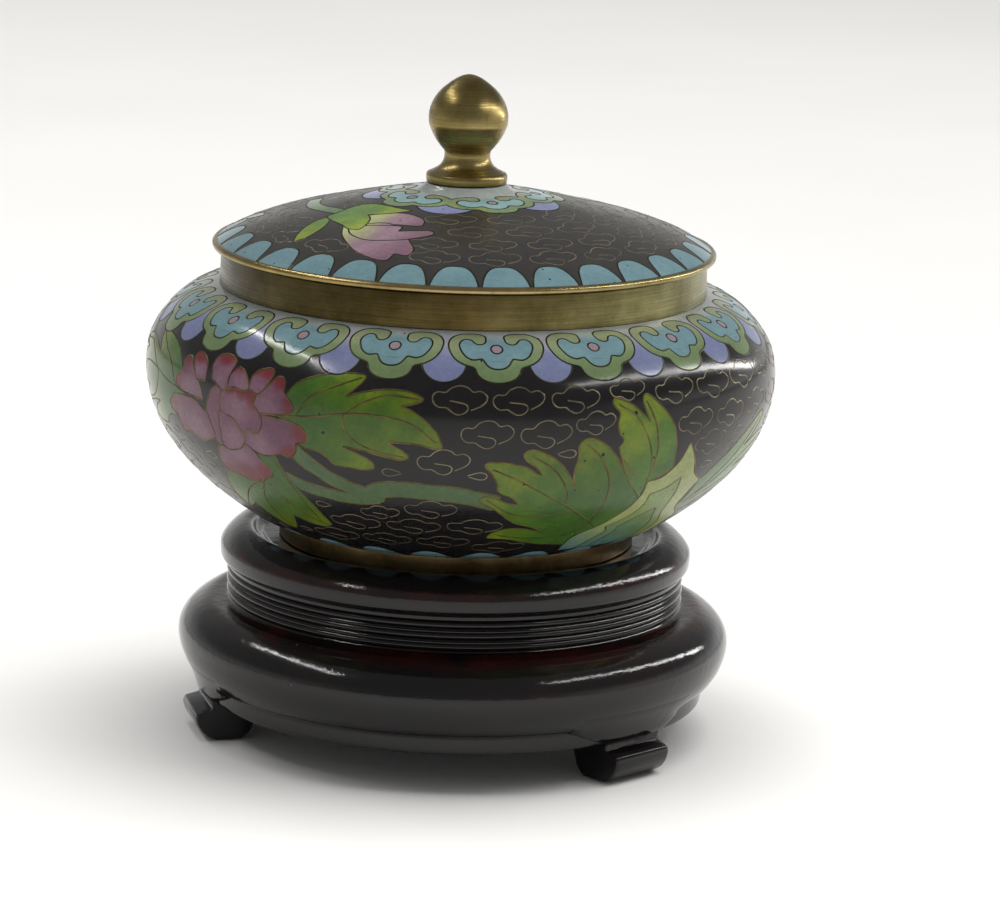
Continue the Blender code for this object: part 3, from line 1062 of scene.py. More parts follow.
PALM_LEAF = [
    (5.9, 44.2), (6.3, 42.9), (7.6, 41.7), (9.5, 40.9), (12, 41), (14.5, 41.7), (16.8, 42.5, 1),
    (14, 40.8), (10, 39), (7.5, 36.5), (5.5, 34.5), (3.9, 33.4), (3.8, 32.6), (4.8, 32), (6.2, 32.5),
    (8, 33.6), (10.2, 34.1, 1), (8.9, 32.5), (7.2, 31.6), (6.4, 30.8), (6.1, 29.3), (5.2, 27.4),
    (4.2, 26.2), (4.3, 25.5), (5.6, 25.3), (8, 25.5), (10.5, 26.2), (13.1, 27.8, 1), (12, 26.2),
    (10.7, 25.2), (10, 24.2), (10.3, 23.4), (11.6, 23.1), (13.5, 23.9), (15.5, 25.3), (17.1, 27.2),
    (18.2, 29), (19.1, 30.3, 1), (18.4, 28.5), (18.4, 26.5), (18.7, 24.5), (18.5, 22.9), (19.1, 21.8),
    (20.6, 21.5), (22.6, 22.5), (24.5, 24.2), (26.5, 27), (29.5, 31), (32.4, 34.2, 1), (34, 38), (32, 44),
    (27, 49, 1), (22, 48), (17.5, 47.2), (14, 46.2), (11, 45.1), (8, 44.5),
]
PALM_TIPS = [(7, 43.5), (4.8, 33), (5.5, 26.2), (11.2, 24), (19.8, 22.8), (8, 29)]
PALM_VEINS = [
    [(27.3, 41.8), (22, 37.4), (17.5, 34), (12.5, 30.6), (9, 28.4), (5.4, 26.6)],
    [(25.4, 40.2), (25.7, 35), (25, 30), (22.6, 25.2), (19.9, 22.6)],
    [(18.3, 34.6), (18, 31.5), (15.2, 27), (11.2, 24.1)],
    [(20.6, 36.3), (17.5, 37.2), (13, 37.2), (9, 36.2), (4.9, 32.9)],
    [(25.2, 41.2), (22, 43.4), (17, 44.6), (12, 44.2), (8, 43.2)],
]
UPPER_LEAF = [
    (25.2, 23.4, 1), (26, 22.3), (25.2, 21.2), (24.8, 19.6), (25.2, 17.8), (24.4, 16.8), (23.9, 15.9),
    (24.6, 15.4), (26.2, 15.9), (28, 17.1), (29.6, 18.6), (30.7, 19.7, 1), (30, 18.2), (29.4, 16.6),
    (29.5, 15.5), (30.3, 15.1), (32, 16.5), (34, 18.6), (35.5, 21), (36.5, 24.5), (37, 28), (36, 29.4),
    (33, 31.2), (33, 35.5, 1), (30, 32), (27.4, 28.2),
]
UPPER_TIPS = [(25.2, 17), (30.2, 16.4), (27.5, 22), (26, 19)]
UPPER_VEINS = [
    [(32.7, 33.5), (32.3, 28), (31, 23.5), (28.2, 18.7), (25, 16.4)],
    [(32.4, 30.5), (32.7, 25), (31.7, 20), (30, 16.2)],
    [(30.1, 29.2), (28.1, 27.6), (26.6, 25.8)],
]
FAR_LEAF = [
    (46.6, 32.8, 1), (50, 29.5), (54.5, 26.2), (59, 23.6), (62, 22.6), (63, 23.4), (61.5, 25.6),
    (58.2, 28.2, 1), (62, 27), (66, 26.6), (68, 27.4), (66.5, 29.4), (62, 31.2), (58.5, 32.4, 1),
    (64, 32.2), (69, 33.4), (70.5, 35), (68, 36.4), (62, 37), (56, 38.5), (51, 42), (47.2, 40.5),
]
FAR_TIPS = [(62, 23.4), (67, 27.6), (69, 34.8)]
FAR_VEINS = [
    [(48, 39), (52, 33), (57, 27.5), (61.6, 23.6)],
    [(50, 37), (56, 32), (61, 29.2), (66.8, 27.7)],
    [(50, 38.6), (57, 35.8), (63, 34.8), (69.2, 34.9)],
]
LOW_LEAF = [
    (-40.5, 31, 1), (-43.8, 33.2), (-46.6, 37), (-48, 41), (-47.4, 43.4), (-46.2, 43.2), (-43.2, 41.4, 1),
    (-42.2, 45), (-40.4, 47.6), (-38.4, 48.3), (-36, 46.6), (-33.5, 42.5, 1), (-30.5, 44.2), (-27.5, 44.6),
    (-25.4, 43.8), (-24.9, 42.8), (-25.6, 40), (-26.6, 36.5), (-28.6, 32), (-30, 28), (-31.5, 25, 1),
    (-36, 26.5),
]
LOW_TIPS = [(-46.8, 42), (-38.6, 47), (-26.6, 43.4)]
LOW_VEINS = [
    [(-35.5, 33.4), (-39.6, 36), (-43.4, 39.4), (-46.9, 42.8)],
    [(-35, 33.8), (-37.6, 38.4), (-38.6, 43), (-38.5, 47.8)],
    [(-34, 33.8), (-31.6, 38.4), (-29.4, 41.6), (-26, 43.6)],
    [(-30.6, 28.6), (-28.6, 34), (-27.6, 39), (-27, 42.6)],
]
LEAVES = (
    ("leaf_f", 1.25, FAR_LEAF, FAR_TIPS, FAR_VEINS),
    ("leaf_u", 1.36, UPPER_LEAF, UPPER_TIPS, UPPER_VEINS),
    ("leaf_p", 1.1, PALM_LEAF, PALM_TIPS, PALM_VEINS),
    ("leaf_t", 1.05, TRI_LEAF, TRI_TIPS, TRI_VEINS),
    ("leaf_b", 1.0, LOW_LEAF, LOW_TIPS, LOW_VEINS),
)
STEMS = [
    ([(-27.5, 24.6), (-25.5, 26.6), (-23, 28.8), (-19.5, 31), (-15, 32.8), (-12, 33.2)], 2.8),
    ([(-29.5, 31.4), (-26.5, 32.9), (-22, 34), (-17, 34.4), (-13, 33.6)], 2.7),
    ([(-15.5, 34.2), (-12.5, 31.9), (-9, 31.4), (-4, 31.6), (1, 32.2), (6.5, 33.8)], 3.5),
]
ZIG_OUT = [
    (24, 51, 1), (24.3, 45.2), (28.5, 41.5), (31.6, 37.6), (32.9, 34), (32.8, 30.8, 1), (35.6, 30.3),
    (38.2, 27.6), (39.6, 24.2, 1), (41.6, 27), (43.4, 30.4), (46.6, 32.8, 1), (45.8, 36), (47, 40),
    (52, 44), (53, 51, 1),
]
ZIG_MID = [
    (28, 51, 1), (31.2, 44.8), (30.2, 42.4, 1), (33.6, 40), (35.2, 37), (34.9, 34, 1), (38, 33),
    (40.5, 31, 1), (41.4, 34), (42.4, 38), (43.6, 41), (47.5, 45.5), (48.5, 51, 1),
]
ZIG_IN = [
    (31.5, 51, 1), (34, 45.6), (33.7, 43, 1), (36.6, 40.4), (39.7, 38.4, 1), (41.2, 41), (43.6, 44.4),
    (46, 51, 1),
]
ZIGS = ((ZIG_OUT, FLOWER_PALE, 0.86), (ZIG_MID, FLOWER_MID, 0.74), (ZIG_IN, FLOWER_IN, 0.66))
PEONY_X = -37.5
PEONY_Y = 22.5
HEART = [(-5.5, -4), (0, -6.5), (5, -5), (7, 0), (4, 4.5), (-1.5, 7), (-6.5, 3)]
PETALS = [
    ([(-5.6, -6, 1), (-6.2, -8.4), (-5.4, -10), (-3.4, -10.5), (-1.6, -9.9), (-1.2, -8.8), (-1.8, -6.5),
      (-2, -3.8, 1)], [(-3.6, -10.6, 1.9)], (-3.2, -7)),
    ([(-1.8, -4.6, 1), (-1.6, -7), (-0.9, -8.3), (0.1, -8.8), (1.3, -8.2), (2.5, -6.8), (3.2, -4.8, 1)],
      [(0, -9.2, 1.3)], (1, -6.4)),
    ([(2.7, -5.2, 1), (2.9, -7.4), (3.5, -8.5), (4.8, -9.3), (6.3, -9.6), (7, -8.8), (6.5, -7.3),
      (5.2, -5, 1)], [(5.9, -9.7, 1.9), (3.4, -8.9, 1)], (4.4, -6.9)),
    ([(3, -2, 1), (4, -4.2), (5.6, -5.8), (7, -7.4), (7.7, -8.3), (8.7, -8.5), (9.5, -7.8), (9.5, -6.2),
      (10.3, -5.3), (11.4, -4.1), (11.1, -3), (9.4, -2.4), (7, -2.2)], [(9.2, -8.5, 2), (11.6, -4, 1.9)],
      (6, -3.6)),
    ([(2, 0, 1), (5.5, -1.7), (8, -1.7), (11, -1.5), (12.8, -0.9), (13.8, 0.3), (13.5, 1.6), (11.7, 2, 1),
      (11.5, 3.4), (10.2, 4.9), (8.6, 4.3, 1), (6.6, 5.1), (4.6, 5.3), (2.8, 4.6), (1, 3.8)],
      [(13.8, 0.2, 2.4), (10.7, 4.9, 2.1)], (4.6, 3.2)),
    ([(-5.4, 5.6, 1), (-2, 4.6), (1.1, 3.9), (2.9, 4.7), (4.6, 7), (5.6, 8.4), (5.2, 9.6), (3.6, 10.2, 1),
      (2.2, 11.4), (-0.3, 11.8), (-2.6, 10.9, 1), (-5.4, 10.8), (-6.2, 8.6)], [(-0.4, 11.6, 3.3),
      (4.6, 9.4, 2.3), (-4.8, 10.8, 1.8)], (-0.5, 6.2)),
    ([(-3.6, -1, 1), (-1.9, -0.9), (-0.6, -0.4), (0.8, 1), (1.6, 2.4), (1.3, 3.8), (0, 5), (-2.6, 5.7),
      (-4, 5, 1)], [], (-0.6, 3.4)),
    ([(-3.6, -2, 1), (-3.2, -4), (-1.9, -4.7), (-0.4, -5.4), (1.6, -5.1), (3.3, -5.5), (4.3, -4.7),
      (3.9, -3.3, 1), (5.1, -2), (5.6, -0.6), (4.9, 1.1), (3.5, 1.8), (2.5, 1, 1), (1.7, 2), (1, 1.6),
      (0.3, 0.3), (-0.9, -0.5), (-2.4, -0.7)], [(1.6, -5.6, 1.7), (3.9, -5.2, 2), (-1.2, -5.6, 1.4),
      (4.6, -3.6, 1)], (0.4, -2.2)),
]
CURL_ROWS = (
    (14.9, 35, 0.0), (20.4, 35, 4.9), (25.6, 35, -2.5), (30.7, 34, 3.0), (35.9, 31, -5.0), (41.2, 28, -9.0),
    (46.4, 27, -3.0),
)
CURL = [
    (-1.6, 0.3), (-0.2, 0.5), (0.9, 0.7), (1.4, 1.3), (0.9, 2.1), (-0.2, 2.45), (-1.25, 2), (-2.05, 1.45),
    (-3.2, 1.5), (-4.1, 0.85), (-4.3, -0.2), (-3.6, -0.95), (-2.3, -0.95), (-1.4, -1.8), (0, -2.25),
    (1.25, -1.95), (2.05, -1.3), (3.2, -1.55), (4.2, -0.85), (4.2, 0), (3.4, 0.85), (1.8, 1.6),
]
CURL_SIZES = (1.0, 0.88, 0.78)
CURL_SHIFTS = [(dx, ds) for ds in (0.0, -0.8, 0.8, -1.6, 1.6) for dx in (0.0, 1.1, -1.1, 2.2, -2.2)]
CURL_CLEAR = 0.8
DROP_CLEAR = 1.95
FIELD_RUNS = (13.6, 49.0)
DROP = [
    (-1.7, -0.05), (-0.85, -0.42), (0.17, -0.72), (1, -0.55), (1.36, 0), (1, 0.55), (0.25, 0.68),
    (-0.7, 0.42), (-1.45, 0.17),
]
BOWL_PITS = (
    (15.5, 20.3), (25.0, 21.3), (32.0, 18.0), (37.0, 22.5), (37.0, 26.0), (26.0, 24.5), (45.0, 17.8),
    (53.0, 19.3), (49.0, 24.0), (53.5, 25.5), (50.0, 28.0), (56.0, 28.0), (61.0, 25.7), (66.0, 23.0),
    (70.0, 19.4), (-10.0, 13.4), (2.3, 17.9), (-24.0, 22.0), (33.0, 12.9), (12.0, 29.5),
)


def draw_leaf(drawing, wall, gain, shape, tips, veins):
    """A leaf cell with its veins."""
    drawing.fill(outline(shape), leaf_paint(tips, gain), wall, "flower")
    drawing.veins += [smooth(vein, WIRE_STEP) for vein in veins]


def draw_peony(drawing, x, y):
    """A many-petalled flower: its left petals mirror its right ones."""
    drawing.fill(outline(moved(HEART, x, y)), plain(PETAL), "heart", "flower")
    left = [(mirrored(p, -2.2), mirrored(r, -2.2), mirrored([c], -2.2)[0]) for p, r, c in PETALS[4:1:-1]]
    for number, (shape, reds, pale) in enumerate(left + PETALS):
        rule = petal_paint(moved(reds, x, y), moved([pale], x, y)[0])
        drawing.fill(outline(moved(shape, x, y)), rule, f"petal{number}", "flower")


def draw_spray(drawing, dx):
    """One spray: peony, leaves, stems and the zigzag flower at the lower right."""
    beside = [moved(points, dx, 0.0) for points in (TRI_LEAF, TRI_TIPS, *TRI_VEINS)]
    shape, tips, *veins = [mirrored(points, PEONY_X - 2.0 + dx) for points in beside]
    draw_leaf(drawing, "leaf_l", 1.0, shape, tips, veins)
    for points, width in STEMS:
        drawing.fill(stem_shape(moved(points, dx, 0.0), width), plain(STEM), "stem", "flower")
    for wall, gain, *leaf in LEAVES:
        shape, tips, *veins = [moved(points, dx, 0.0) for points in (*leaf[:2], *leaf[2])]
        draw_leaf(drawing, wall, gain, shape, tips, veins)
    down_left = from_to((41.0 + dx, 29.0), (27.0 + dx, 49.0))
    for number, (shape, colour, turn) in enumerate(ZIGS):
        rule = shaded(down_left, colour, (TEAL, turn - 0.3, turn + 0.3))
        drawing.fill(outline(moved(shape, dx, 0.0)), rule, f"star{number}", "flower")
    draw_peony(drawing, PEONY_X + dx, PEONY_Y)


def curl_at(run, smallest):
    """A cloud curl of random size, from smallest up, and tilt."""
    scale, tilt = RNG.uniform(smallest, smallest + 0.1), RNG.uniform(-0.06, 0.06)
    return smooth(moved(rotated(CURL, -tilt), 0.0, run, scale), 0.3)


def squeezed(drawing, curl, spot, made):
    """A curl moved a little and made smaller until it is free of cells and other curls, if it can be."""
    taken = np.vstack(made)
    taken[:, 0] = (taken[:, 0] - spot[0] + 0.5 * ROUND) % ROUND - 0.5 * ROUND + spot[0]
    taken = taken[(np.abs(taken - spot) < (12.0, 7.0)).all(1)]
    for size in CURL_SIZES:
        for shift in CURL_SHIFTS:
            tried = curl * size + spot + shift
            if drawing.covered(wrapped(curl * size * 1.12 + spot + shift)).any():
                continue
            gaps = np.hypot(*(tried[:, None] - taken[None]).transpose(2, 0, 1))
            if not len(taken) or gaps.min() > CURL_CLEAR:
                return [tried]
    return []


def draw_bowl_curls(drawing):
    """Rows of cloud curls over the field: those in the open, then smaller ones by the cells."""
    made = []
    crowded = []
    for s, count, first in CURL_ROWS:
        radius = float(np.interp(s, drawing.surface.run, drawing.surface.line[:, 0]))
        for k in range(count):
            curl = curl_at(0.0, 0.94) * (SHEET_R / radius, 1.0)
            x = math.radians(first + 360.0 * k / count) * SHEET_R
            spot = np.array((x, s + RNG.uniform(-0.25, 0.25)))
            hidden = drawing.covered(wrapped(curl + spot)).mean()
            if hidden == 0.0:
                made.append(curl + spot)
            elif hidden < 0.5:
                crowded.append((curl, spot))
    for curl, spot in crowded:
        made += squeezed(drawing, curl, spot, made)
    drawing.curls = made


def draw_drops(drawing):
    """Drops in the gaps between the curls, turned this way and that."""
    made = drawing.curls
    taken = wrapped(np.vstack(made))
    for s in np.arange(*FIELD_RUNS, 1.3):
        for x in np.arange(SEAM_X, SEAM_X + ROUND, 1.7):
            drop = np.array(DROP) * (1 if len(made) % 2 else -1) + (x, s)
            around = wrapped(np.vstack([circle(x, s, 1.7, 12), drop]))
            if drawing.covered(around).any() or np.hypot(*(taken - (x, s)).T).min() < DROP_CLEAR:
                continue
            made.append(smooth(drop, 0.3))
            taken = np.vstack([taken, wrapped(drop)])


def draw_bowl(surface):
    """The whole drawing of the bowl."""
    drawing = Drawing(surface, "bowl", "bowl_body", (13.2, 49.0))
    for dx in (0.0, 0.5 * ROUND):
        draw_spray(drawing, dx)
    draw_bowl_borders(drawing)
    draw_bowl_curls(drawing)
    draw_drops(drawing)
    for degrees, s in BOWL_PITS:
        drawing.pits.append((math.radians(degrees) * SHEET_R, s, 0.3 + 0.07 * math.sin(3.0 * degrees)))
    return drawing


# ---------------------------------------------------------------- drawing: lid

BUD_STEM = [(-25.6, -6.5), (-26, -1), (-25.2, 3.2), (-23.2, 7), (-20.8, 10.4)]
BUD_SEPAL = [
    (-22.6, 12, 1), (-25.2, 13.8), (-27, 16.6), (-28.2, 20), (-28.6, 22.2, 1), (-26.2, 21.4), (-24, 18.8),
    (-22.8, 15.6),
]
BUD_CALYX = [
    (-23.1, 12.1), (-21.4, 10.6), (-19.9, 9.1), (-18, 8.1), (-15.6, 8.5), (-13.2, 10.8), (-11, 13.2),
    (-8.8, 15, 1), (-11.6, 15.4), (-14.2, 15.2), (-16.2, 14.6, 1), (-15.8, 17), (-16.4, 19.8),
    (-17.6, 21.8, 1), (-19.4, 20.6), (-20.6, 18), (-22.2, 15),
]
BUD_PETALS = [
    ([(-17, 15, 1), (-13, 15.2), (-9.8, 16.2), (-7.1, 19), (-6.8, 21.4), (-7.7, 22.4), (-11.1, 21.2),
      (-15, 20.2), (-17.5, 18, 1)], (-15.5, 16.5), (-7.5, 21)),
    ([(-18.2, 20.2, 1), (-16.4, 19.5), (-14.4, 19.5), (-12.6, 20.3), (-11, 22.2, 1), (-14, 22.8),
      (-17.4, 22)], (-18, 19), (-8, 24.5)),
    ([(-20.2, 18.4, 1), (-20.4, 22), (-20, 25), (-18.2, 30.2), (-15, 34), (-12.7, 34.9), (-11.5, 33, 1),
      (-9.4, 33.9), (-8.3, 32.1), (-8.9, 29.2), (-10, 26), (-14, 22)], (-20, 20.5), (-11.5, 33)),
    ([(-19.4, 20.4, 1), (-17.6, 20), (-14, 20.8), (-10.5, 22.1), (-11, 24.2, 1), (-8.2, 24.3), (-5.6, 24.7),
      (-5.3, 26.3), (-9.3, 27.8), (-13, 27.7), (-16.4, 26.6), (-18.8, 23.6)], (-19, 21), (-7, 25.5)),
]
SIDE_LEAF = [(-38.4, -8.6, 1), (-38.7, -6), (-37.4, -3.2), (-34.6, -1.4, 1), (-34.6, -4.4), (-36, -7.2)]
LID_CURL_ROWS = ((19.6, 12, -7.0), (24.9, 16, 3.0), (30.2, 19, -10.0), (35.0, 22, -8.0))


def draw_bud(drawing, turn, stem):
    """A half-open bud with its calyx, its sepal and a stem if wanted."""

    def fill(points, rule, wall):
        drawing.fill(outline(rotated(points, turn)), rule, wall, "flower")

    if stem:
        shape = stem_shape(rotated(BUD_STEM, turn), 2.4)
        drawing.fill(shape, plain(STEM * 1.2), "bud_stem", "flower")
    fill(BUD_SEPAL, leaf_paint(rotated([(-28.0, 21.0)], turn), 1.35 * LID_GREEN, 14.0), "sepal")
    for number, (shape, *ends) in enumerate(BUD_PETALS):
        steps = ((BUD_PINK, 0.05, 0.55), (BUD_TIP, 0.55, 1.05))
        fill(shape, shaded(from_to(*rotated(ends, turn)), BUD_CREAM, *steps), f"bud{number}")
    tips = rotated([(-9.5, 14.8), (-17.6, 21.0)], turn)
    fill(BUD_CALYX, leaf_paint(tips, 1.45 * LID_GREEN, 12.0), "calyx")


def draw_lid(surface):
    """The whole drawing of the lid."""
    drawing = Drawing(surface, "lid", "lid_dome", (16.5, surface.length - 6.2))
    draw_bud(drawing, 0.0, True)
    draw_bud(drawing, math.pi, False)
    drawing.fill(outline(SIDE_LEAF), plain(SAGE_PALE), "side_leaf", "flower")
    draw_lid_borders(drawing)
    for run, count, first in LID_CURL_ROWS:
        for k in range(count):
            turn = math.radians(first + 360.0 * k / count)
            curl = np.array(rotated(curl_at(run, 0.92).tolist(), turn))
            if drawing.covered(curl).mean() < 0.4:
                drawing.curls.append(curl)
    return drawing


# ---------------------------------------------------------------- bowl and lid

BOWL_WALL = 1.8
DOME_WALL = 1.6
BELLY_Z = 62.0
BASE_R = 31.4
MOUTH_R = 39.2
DROP_RING = (37.5, 38.6)


def bowl_stations():
    """Outer side of the bowl from the mouth down, as in the CAD model."""
    low, high = box_mm("bowl_body")
    mouth_r = box_mm("neck_ring")[1].x
    shoulder = ((0.79, 0.96), (0.53, 0.86), (0.27, 0.66), (0.05, 0.36), (0.0, 0.0))
    under = ((0.03, 0.17), (0.11, 0.35), (0.25, 0.53), (0.445, 0.70), (0.645, 0.835), (0.83, 0.94))
    stations = [(mouth_r, high.z)]
    stations += [(high.x - f * (high.x - mouth_r), BELLY_Z + h * (high.z - BELLY_Z)) for f, h in shoulder]
    stations += [(high.x - f * (high.x - BASE_R), BELLY_Z - h * (BELLY_Z - low.z)) for f, h in under]
    return stations + [(BASE_R, low.z)]


def dome_stations():
    """Outer side of the lid from its middle to just past its edge, as in the CAD model."""
    low, high = box_mm("lid_dome")
    shape = ((0.20, 0.03), (0.36, 0.14), (0.56, 0.33), (0.75, 0.535), (0.89, 0.745), (0.967, 0.905))
    stations = [(f * high.x, high.z - h * (high.z - low.z)) for f, h in shape]
    return [(0.0, high.z), *stations, (high.x + 0.42, low.z - 0.3)]


def inset_line(line, wall):
    """A section moved inwards by the wall."""
    slope = unit(np.gradient(line, axis=0))
    return line + np.stack([slope[:, 1], -slope[:, 0]], -1) * wall


def lining_lines(surface, wall, lowest):
    """Sections of the lining: its inside above the lowest height, and its outside under the enamel."""
    line = surface.line[::4]
    inner = inset_line(line, wall)[1:-1]
    return inner[inner[:, 1] > lowest].tolist(), inset_line(line, SKIN).tolist()


def build_bowl(materials):
    """Enamelled bowl: lining, enamel pieces and wires."""
    surface = Surface(bowl_stations(), False)
    low, high = box_mm("bowl_body")
    floor_z = low.z + BOWL_WALL
    inner, outer = lining_lines(surface, BOWL_WALL, floor_z + 0.5)
    floor_r = inner[-1][0] - 2.6
    mouth = (MOUTH_R, high.z - 0.05)
    profile = [(0.0, floor_z), (floor_r, floor_z), *inner[::-1], mouth, *outer, (0.0, low.z)]
    look = (materials["lining"], "bowl_enamel", "bowl_body")
    turned_piece("bowl_lining", profile, *look, 144, 50.0)
    build_covering(draw_bowl(surface), materials, 0.35)


def build_lid(materials):
    """Enamelled lid: lining, enamel pieces and wires."""
    surface = Surface(dome_stations(), True)
    low, high = box_mm("lid_dome")
    inner, outer = lining_lines(surface, DOME_WALL, low.z + 0.3)
    outer[0][0] = 0.0
    profile = [*outer, (inner[-1][0] + 1.3, low.z + 0.02), *inner[::-1], (0.0, high.z - DOME_WALL)]
    look = (materials["lining"], "lid_enamel", "lid_dome")
    turned_piece("lid_lining", profile, *look, 144, 50.0)
    build_covering(draw_lid(surface), materials, 0.5)


def build_collar(materials):
    """Low pale enamel rise of the lid round the foot of the knob."""
    top = box_mm("lid_dome")[1].z
    line = (
        (0.0, 0.93), (6.5, 0.92), (6.75, 0.88), (6.95, 0.74), (7.12, 0.54), (7.32, 0.32), (7.58, 0.09),
        (7.86, -0.10), (8.2, -0.24), (8.6, -0.38), (8.6, -0.7), (0.0, -0.7),
    )
    profile = [(r, top + z) for r, z in line]
    look = (materials["lid_border"], "lid_enamel", "lid_dome")
    collar = turned_piece("lid_collar_enamel", profile, *look, 128)
    paint_on(collar, "CORNER", np.tile(RING, (len(collar.data.loops), 1)))


# ---------------------------------------------------------------- brass


def build_brass(materials):
    """Foot ring, neck and lid rim, as rings with rounded corners."""
    low, high = box_mm("foot_ring")
    r, under, top = high.x, low.z - 0.25, high.z + 0.28
    corners = [(r, top, 0.1), (r - 0.1, high.z - 0.6), (r - 0.05, low.z + 0.7)]
    corners += [(r, under, 0.3), (r - 2.5, under, 0.3), (r - 2.5, top, 0.1)]
    look = (materials["foot"], "foot_brass", "foot_ring")
    turned_piece("foot_brass_ring", rounded(corners, True), *look, 160)
    low, high = box_mm("neck_ring")
    r, under, top = high.x, low.z - 0.28, high.z
    corners = [(r - 0.15, top, 0.25), (r - 0.1, 0.5 * (low.z + top)), (r + 0.05, under, 0.1)]
    corners += [(r - 2.0, under, 0.1), (r - 2.0, top, 0.3)]
    look = (materials["neck"], "neck_brass", "neck_ring")
    turned_piece("neck_brass_collar", rounded(corners, True), *look, 192)
    lip = top + 0.3
    low, high = box_mm("lid_rim")
    r, under, top = high.x, low.z, high.z
    inner, outer = DROP_RING
    corners = [(r - 0.4, top + 0.2, 0.15), (r, top - 0.25, 0.3), (r - 0.12, lip, 0.25), (outer, lip, 0.1)]
    corners += [(outer, under, 0.2), (inner, under, 0.2), (inner, top + 0.2, 0.1)]
    look = (materials["rim"], "rim_brass", "lid_rim")
    turned_piece("lid_brass_rim", rounded(corners, True), *look, 192)


def build_knob(materials):
    """Pointed ball with a faint shoulder line, waisted stem and round flange."""
    low, high = box_mm("lid_knob")
    flange_z = 0.85
    section = (
        (0.0, 18.85), (1.0, 18.66), (2.0, 18.22), (2.9, 17.65), (3.75, 17.0), (4.55, 16.3), (5.25, 15.5),
        (5.9, 14.5), (6.36, 13.4), (6.6, 12.4), (6.67, 11.5), (6.62, 10.7), (6.52, 10.25, 1), (6.3, 9.7),
        (5.95, 8.9), (5.5, 8.05), (5.05, 7.4), (4.6, 6.8), (4.15, 6.3), (3.95, 6.0, 1), (3.88, 5.75),
        (3.84, 5.3), (3.9, 4.7), (4.12, 4.1), (4.5, 3.55), (5.0, 3.12), (5.55, 2.78), (6.1, 2.52),
        (6.35, 2.36, 1), (6.62, 2.28), (6.8, 2.0), (6.82, 1.4), (6.74, flange_z, 1),
    )
    side = [(r, low.z + z) for r, z in path(section, 0.35)[1:]]
    profile = [(0.0, high.z), *side, (0.0, low.z + flange_z)]
    look = (materials["knob"], "knob_brass", "lid_knob")
    turned_piece("lid_brass_knob", profile, *look, 128, 40.0)


# ---------------------------------------------------------------- stand

FOOT_ANGLES = (44.5, 164.5, 284.5)
BEAD_TOPS = (27.55, 25.7, 23.85)
BEAD = [
    (38.3, 0, 1), (38.6, -0.12), (38.82, -0.4), (38.86, -0.65), (38.7, -0.95), (38.35, -1.1, 1),
    (38.6, -1.25), (38.72, -1.42), (38.6, -1.58), (38.3, -1.72, 1),
]
BASE_HOLLOW = [
    (43.3, 9.75), (42.95, 9.35, 1), (42.75, 9.1), (42.75, 8.0), (42.7, 6.6), (42.35, 6.3, 1),
    (38.3, 6.3, 1), (38.0, 6.6), (38.0, 7.7), (37.6, 8.0, 1), (0.0, 8.0),
]
FOOT_SIDE = (
    (42.6, 10), (43.3, 7.6, 0.4), (42.95, 6.6, 0.3), (42.9, 5.5, 0.3), (45.45, 4.85, 0.4), (45.75, 4, 0.5),
    (45.4, 2.5, 0.7), (44.3, 0.9, 0.8), (42.6, 0, 0.6), (37.6, 0, 0.6), (36.1, 1.4, 0.8), (34.9, 5.2, 0.6),
    (34.6, 9.1),
)
FOOT_SLICES = ((-6.2, 0.93), (-6.0, 0.97), (-5.5, 1.0), (5.5, 1.0), (6.0, 0.97), (6.2, 0.93))
BRACKET_TURN = 21.0
BRACKET_FLAT = 8.0
BRACKET_TOP = 14.0
BRACKET_BACK = 39.6


def stand_line():
    """Turned section of the stand from the middle of its seat to the middle of its hollow."""
    seat_z, seat_r, roll_r, roll_z, crest = 33.0, 33.0, 40.0, 30.9, 3.75
    waist_r, base_r, base_z = 38.75, box_mm("wooden_stand")[1].x, 16.2
    roll = ((0.86, 0.71), (0.755, 0.96), (0.59, 1.0), (0.37, 0.85), (0.17, 0.58), (0.03, 0.27))
    base = (
        (0.62, 5.432), (0.40, 4.704), (0.20, 3.528), (0.05, 1.848), (0.0, 0.0), (0.04, -2.108),
        (0.15, -4.216), (0.33, -6.2),
    )
    points = [(0.0, seat_z), (seat_r - 0.4, seat_z, 1), (seat_r + 0.15, seat_z + 0.35)]
    points += [(roll_r - f * (roll_r - seat_r), roll_z + h * crest) for f, h in roll]
    points += [(roll_r, roll_z + 0.4), (roll_r + 0.02, roll_z - 0.5)]
    points += [(39.92, 29.5), (39.6, 28.98, 1), (38.9, 28.62, 1), (waist_r, 28.3), (waist_r, 27.85)]
    for top in BEAD_TOPS:
        points += moved(BEAD, 0.0, top)
    points += [(38.45, 21.95), (39.0, 21.74), (39.8, 21.72)]
    points += [(base_r - f * (base_r - waist_r), base_z + h) for f, h in base]
    return path(points + BASE_HOLLOW, 0.45)


def polar(angle_deg, radius, across=0.0):
    """Plan position at an angle from the front, moved sideways by across."""
    angle = math.radians(angle_deg)
    x = radius * math.sin(angle) + across * math.cos(angle)
    y = -radius * math.cos(angle) + across * math.sin(angle)
    return x, y


def prism(rings):
    """Vertices and faces of a body through equal rings of points, closed at both ends."""
    count = len(rings[0])
    verts = [p for ring in rings for p in ring]
    faces = [tuple(range(count - 1, -1, -1)), tuple(range(len(verts) - count, len(verts)))]
    for k in range(len(rings) - 1):
        for i in range(count):
            j = (i + 1) % count
            faces.append((k * count + i, k * count + j, (k + 1) * count + j, (k + 1) * count + i))
    return verts, faces


def foot_mesh(angle):
    """A foot block, a little narrower towards its sides' edges."""
    side = np.array(rounded(FOOT_SIDE, False, 3))
    middle = side.mean(0)
    rings = []
    for across, shrink in FOOT_SLICES:
        ring = middle + (side - middle) * shrink
        rings.append([(*polar(angle, r, across), z) for r, z in ring])
    return prism(rings)


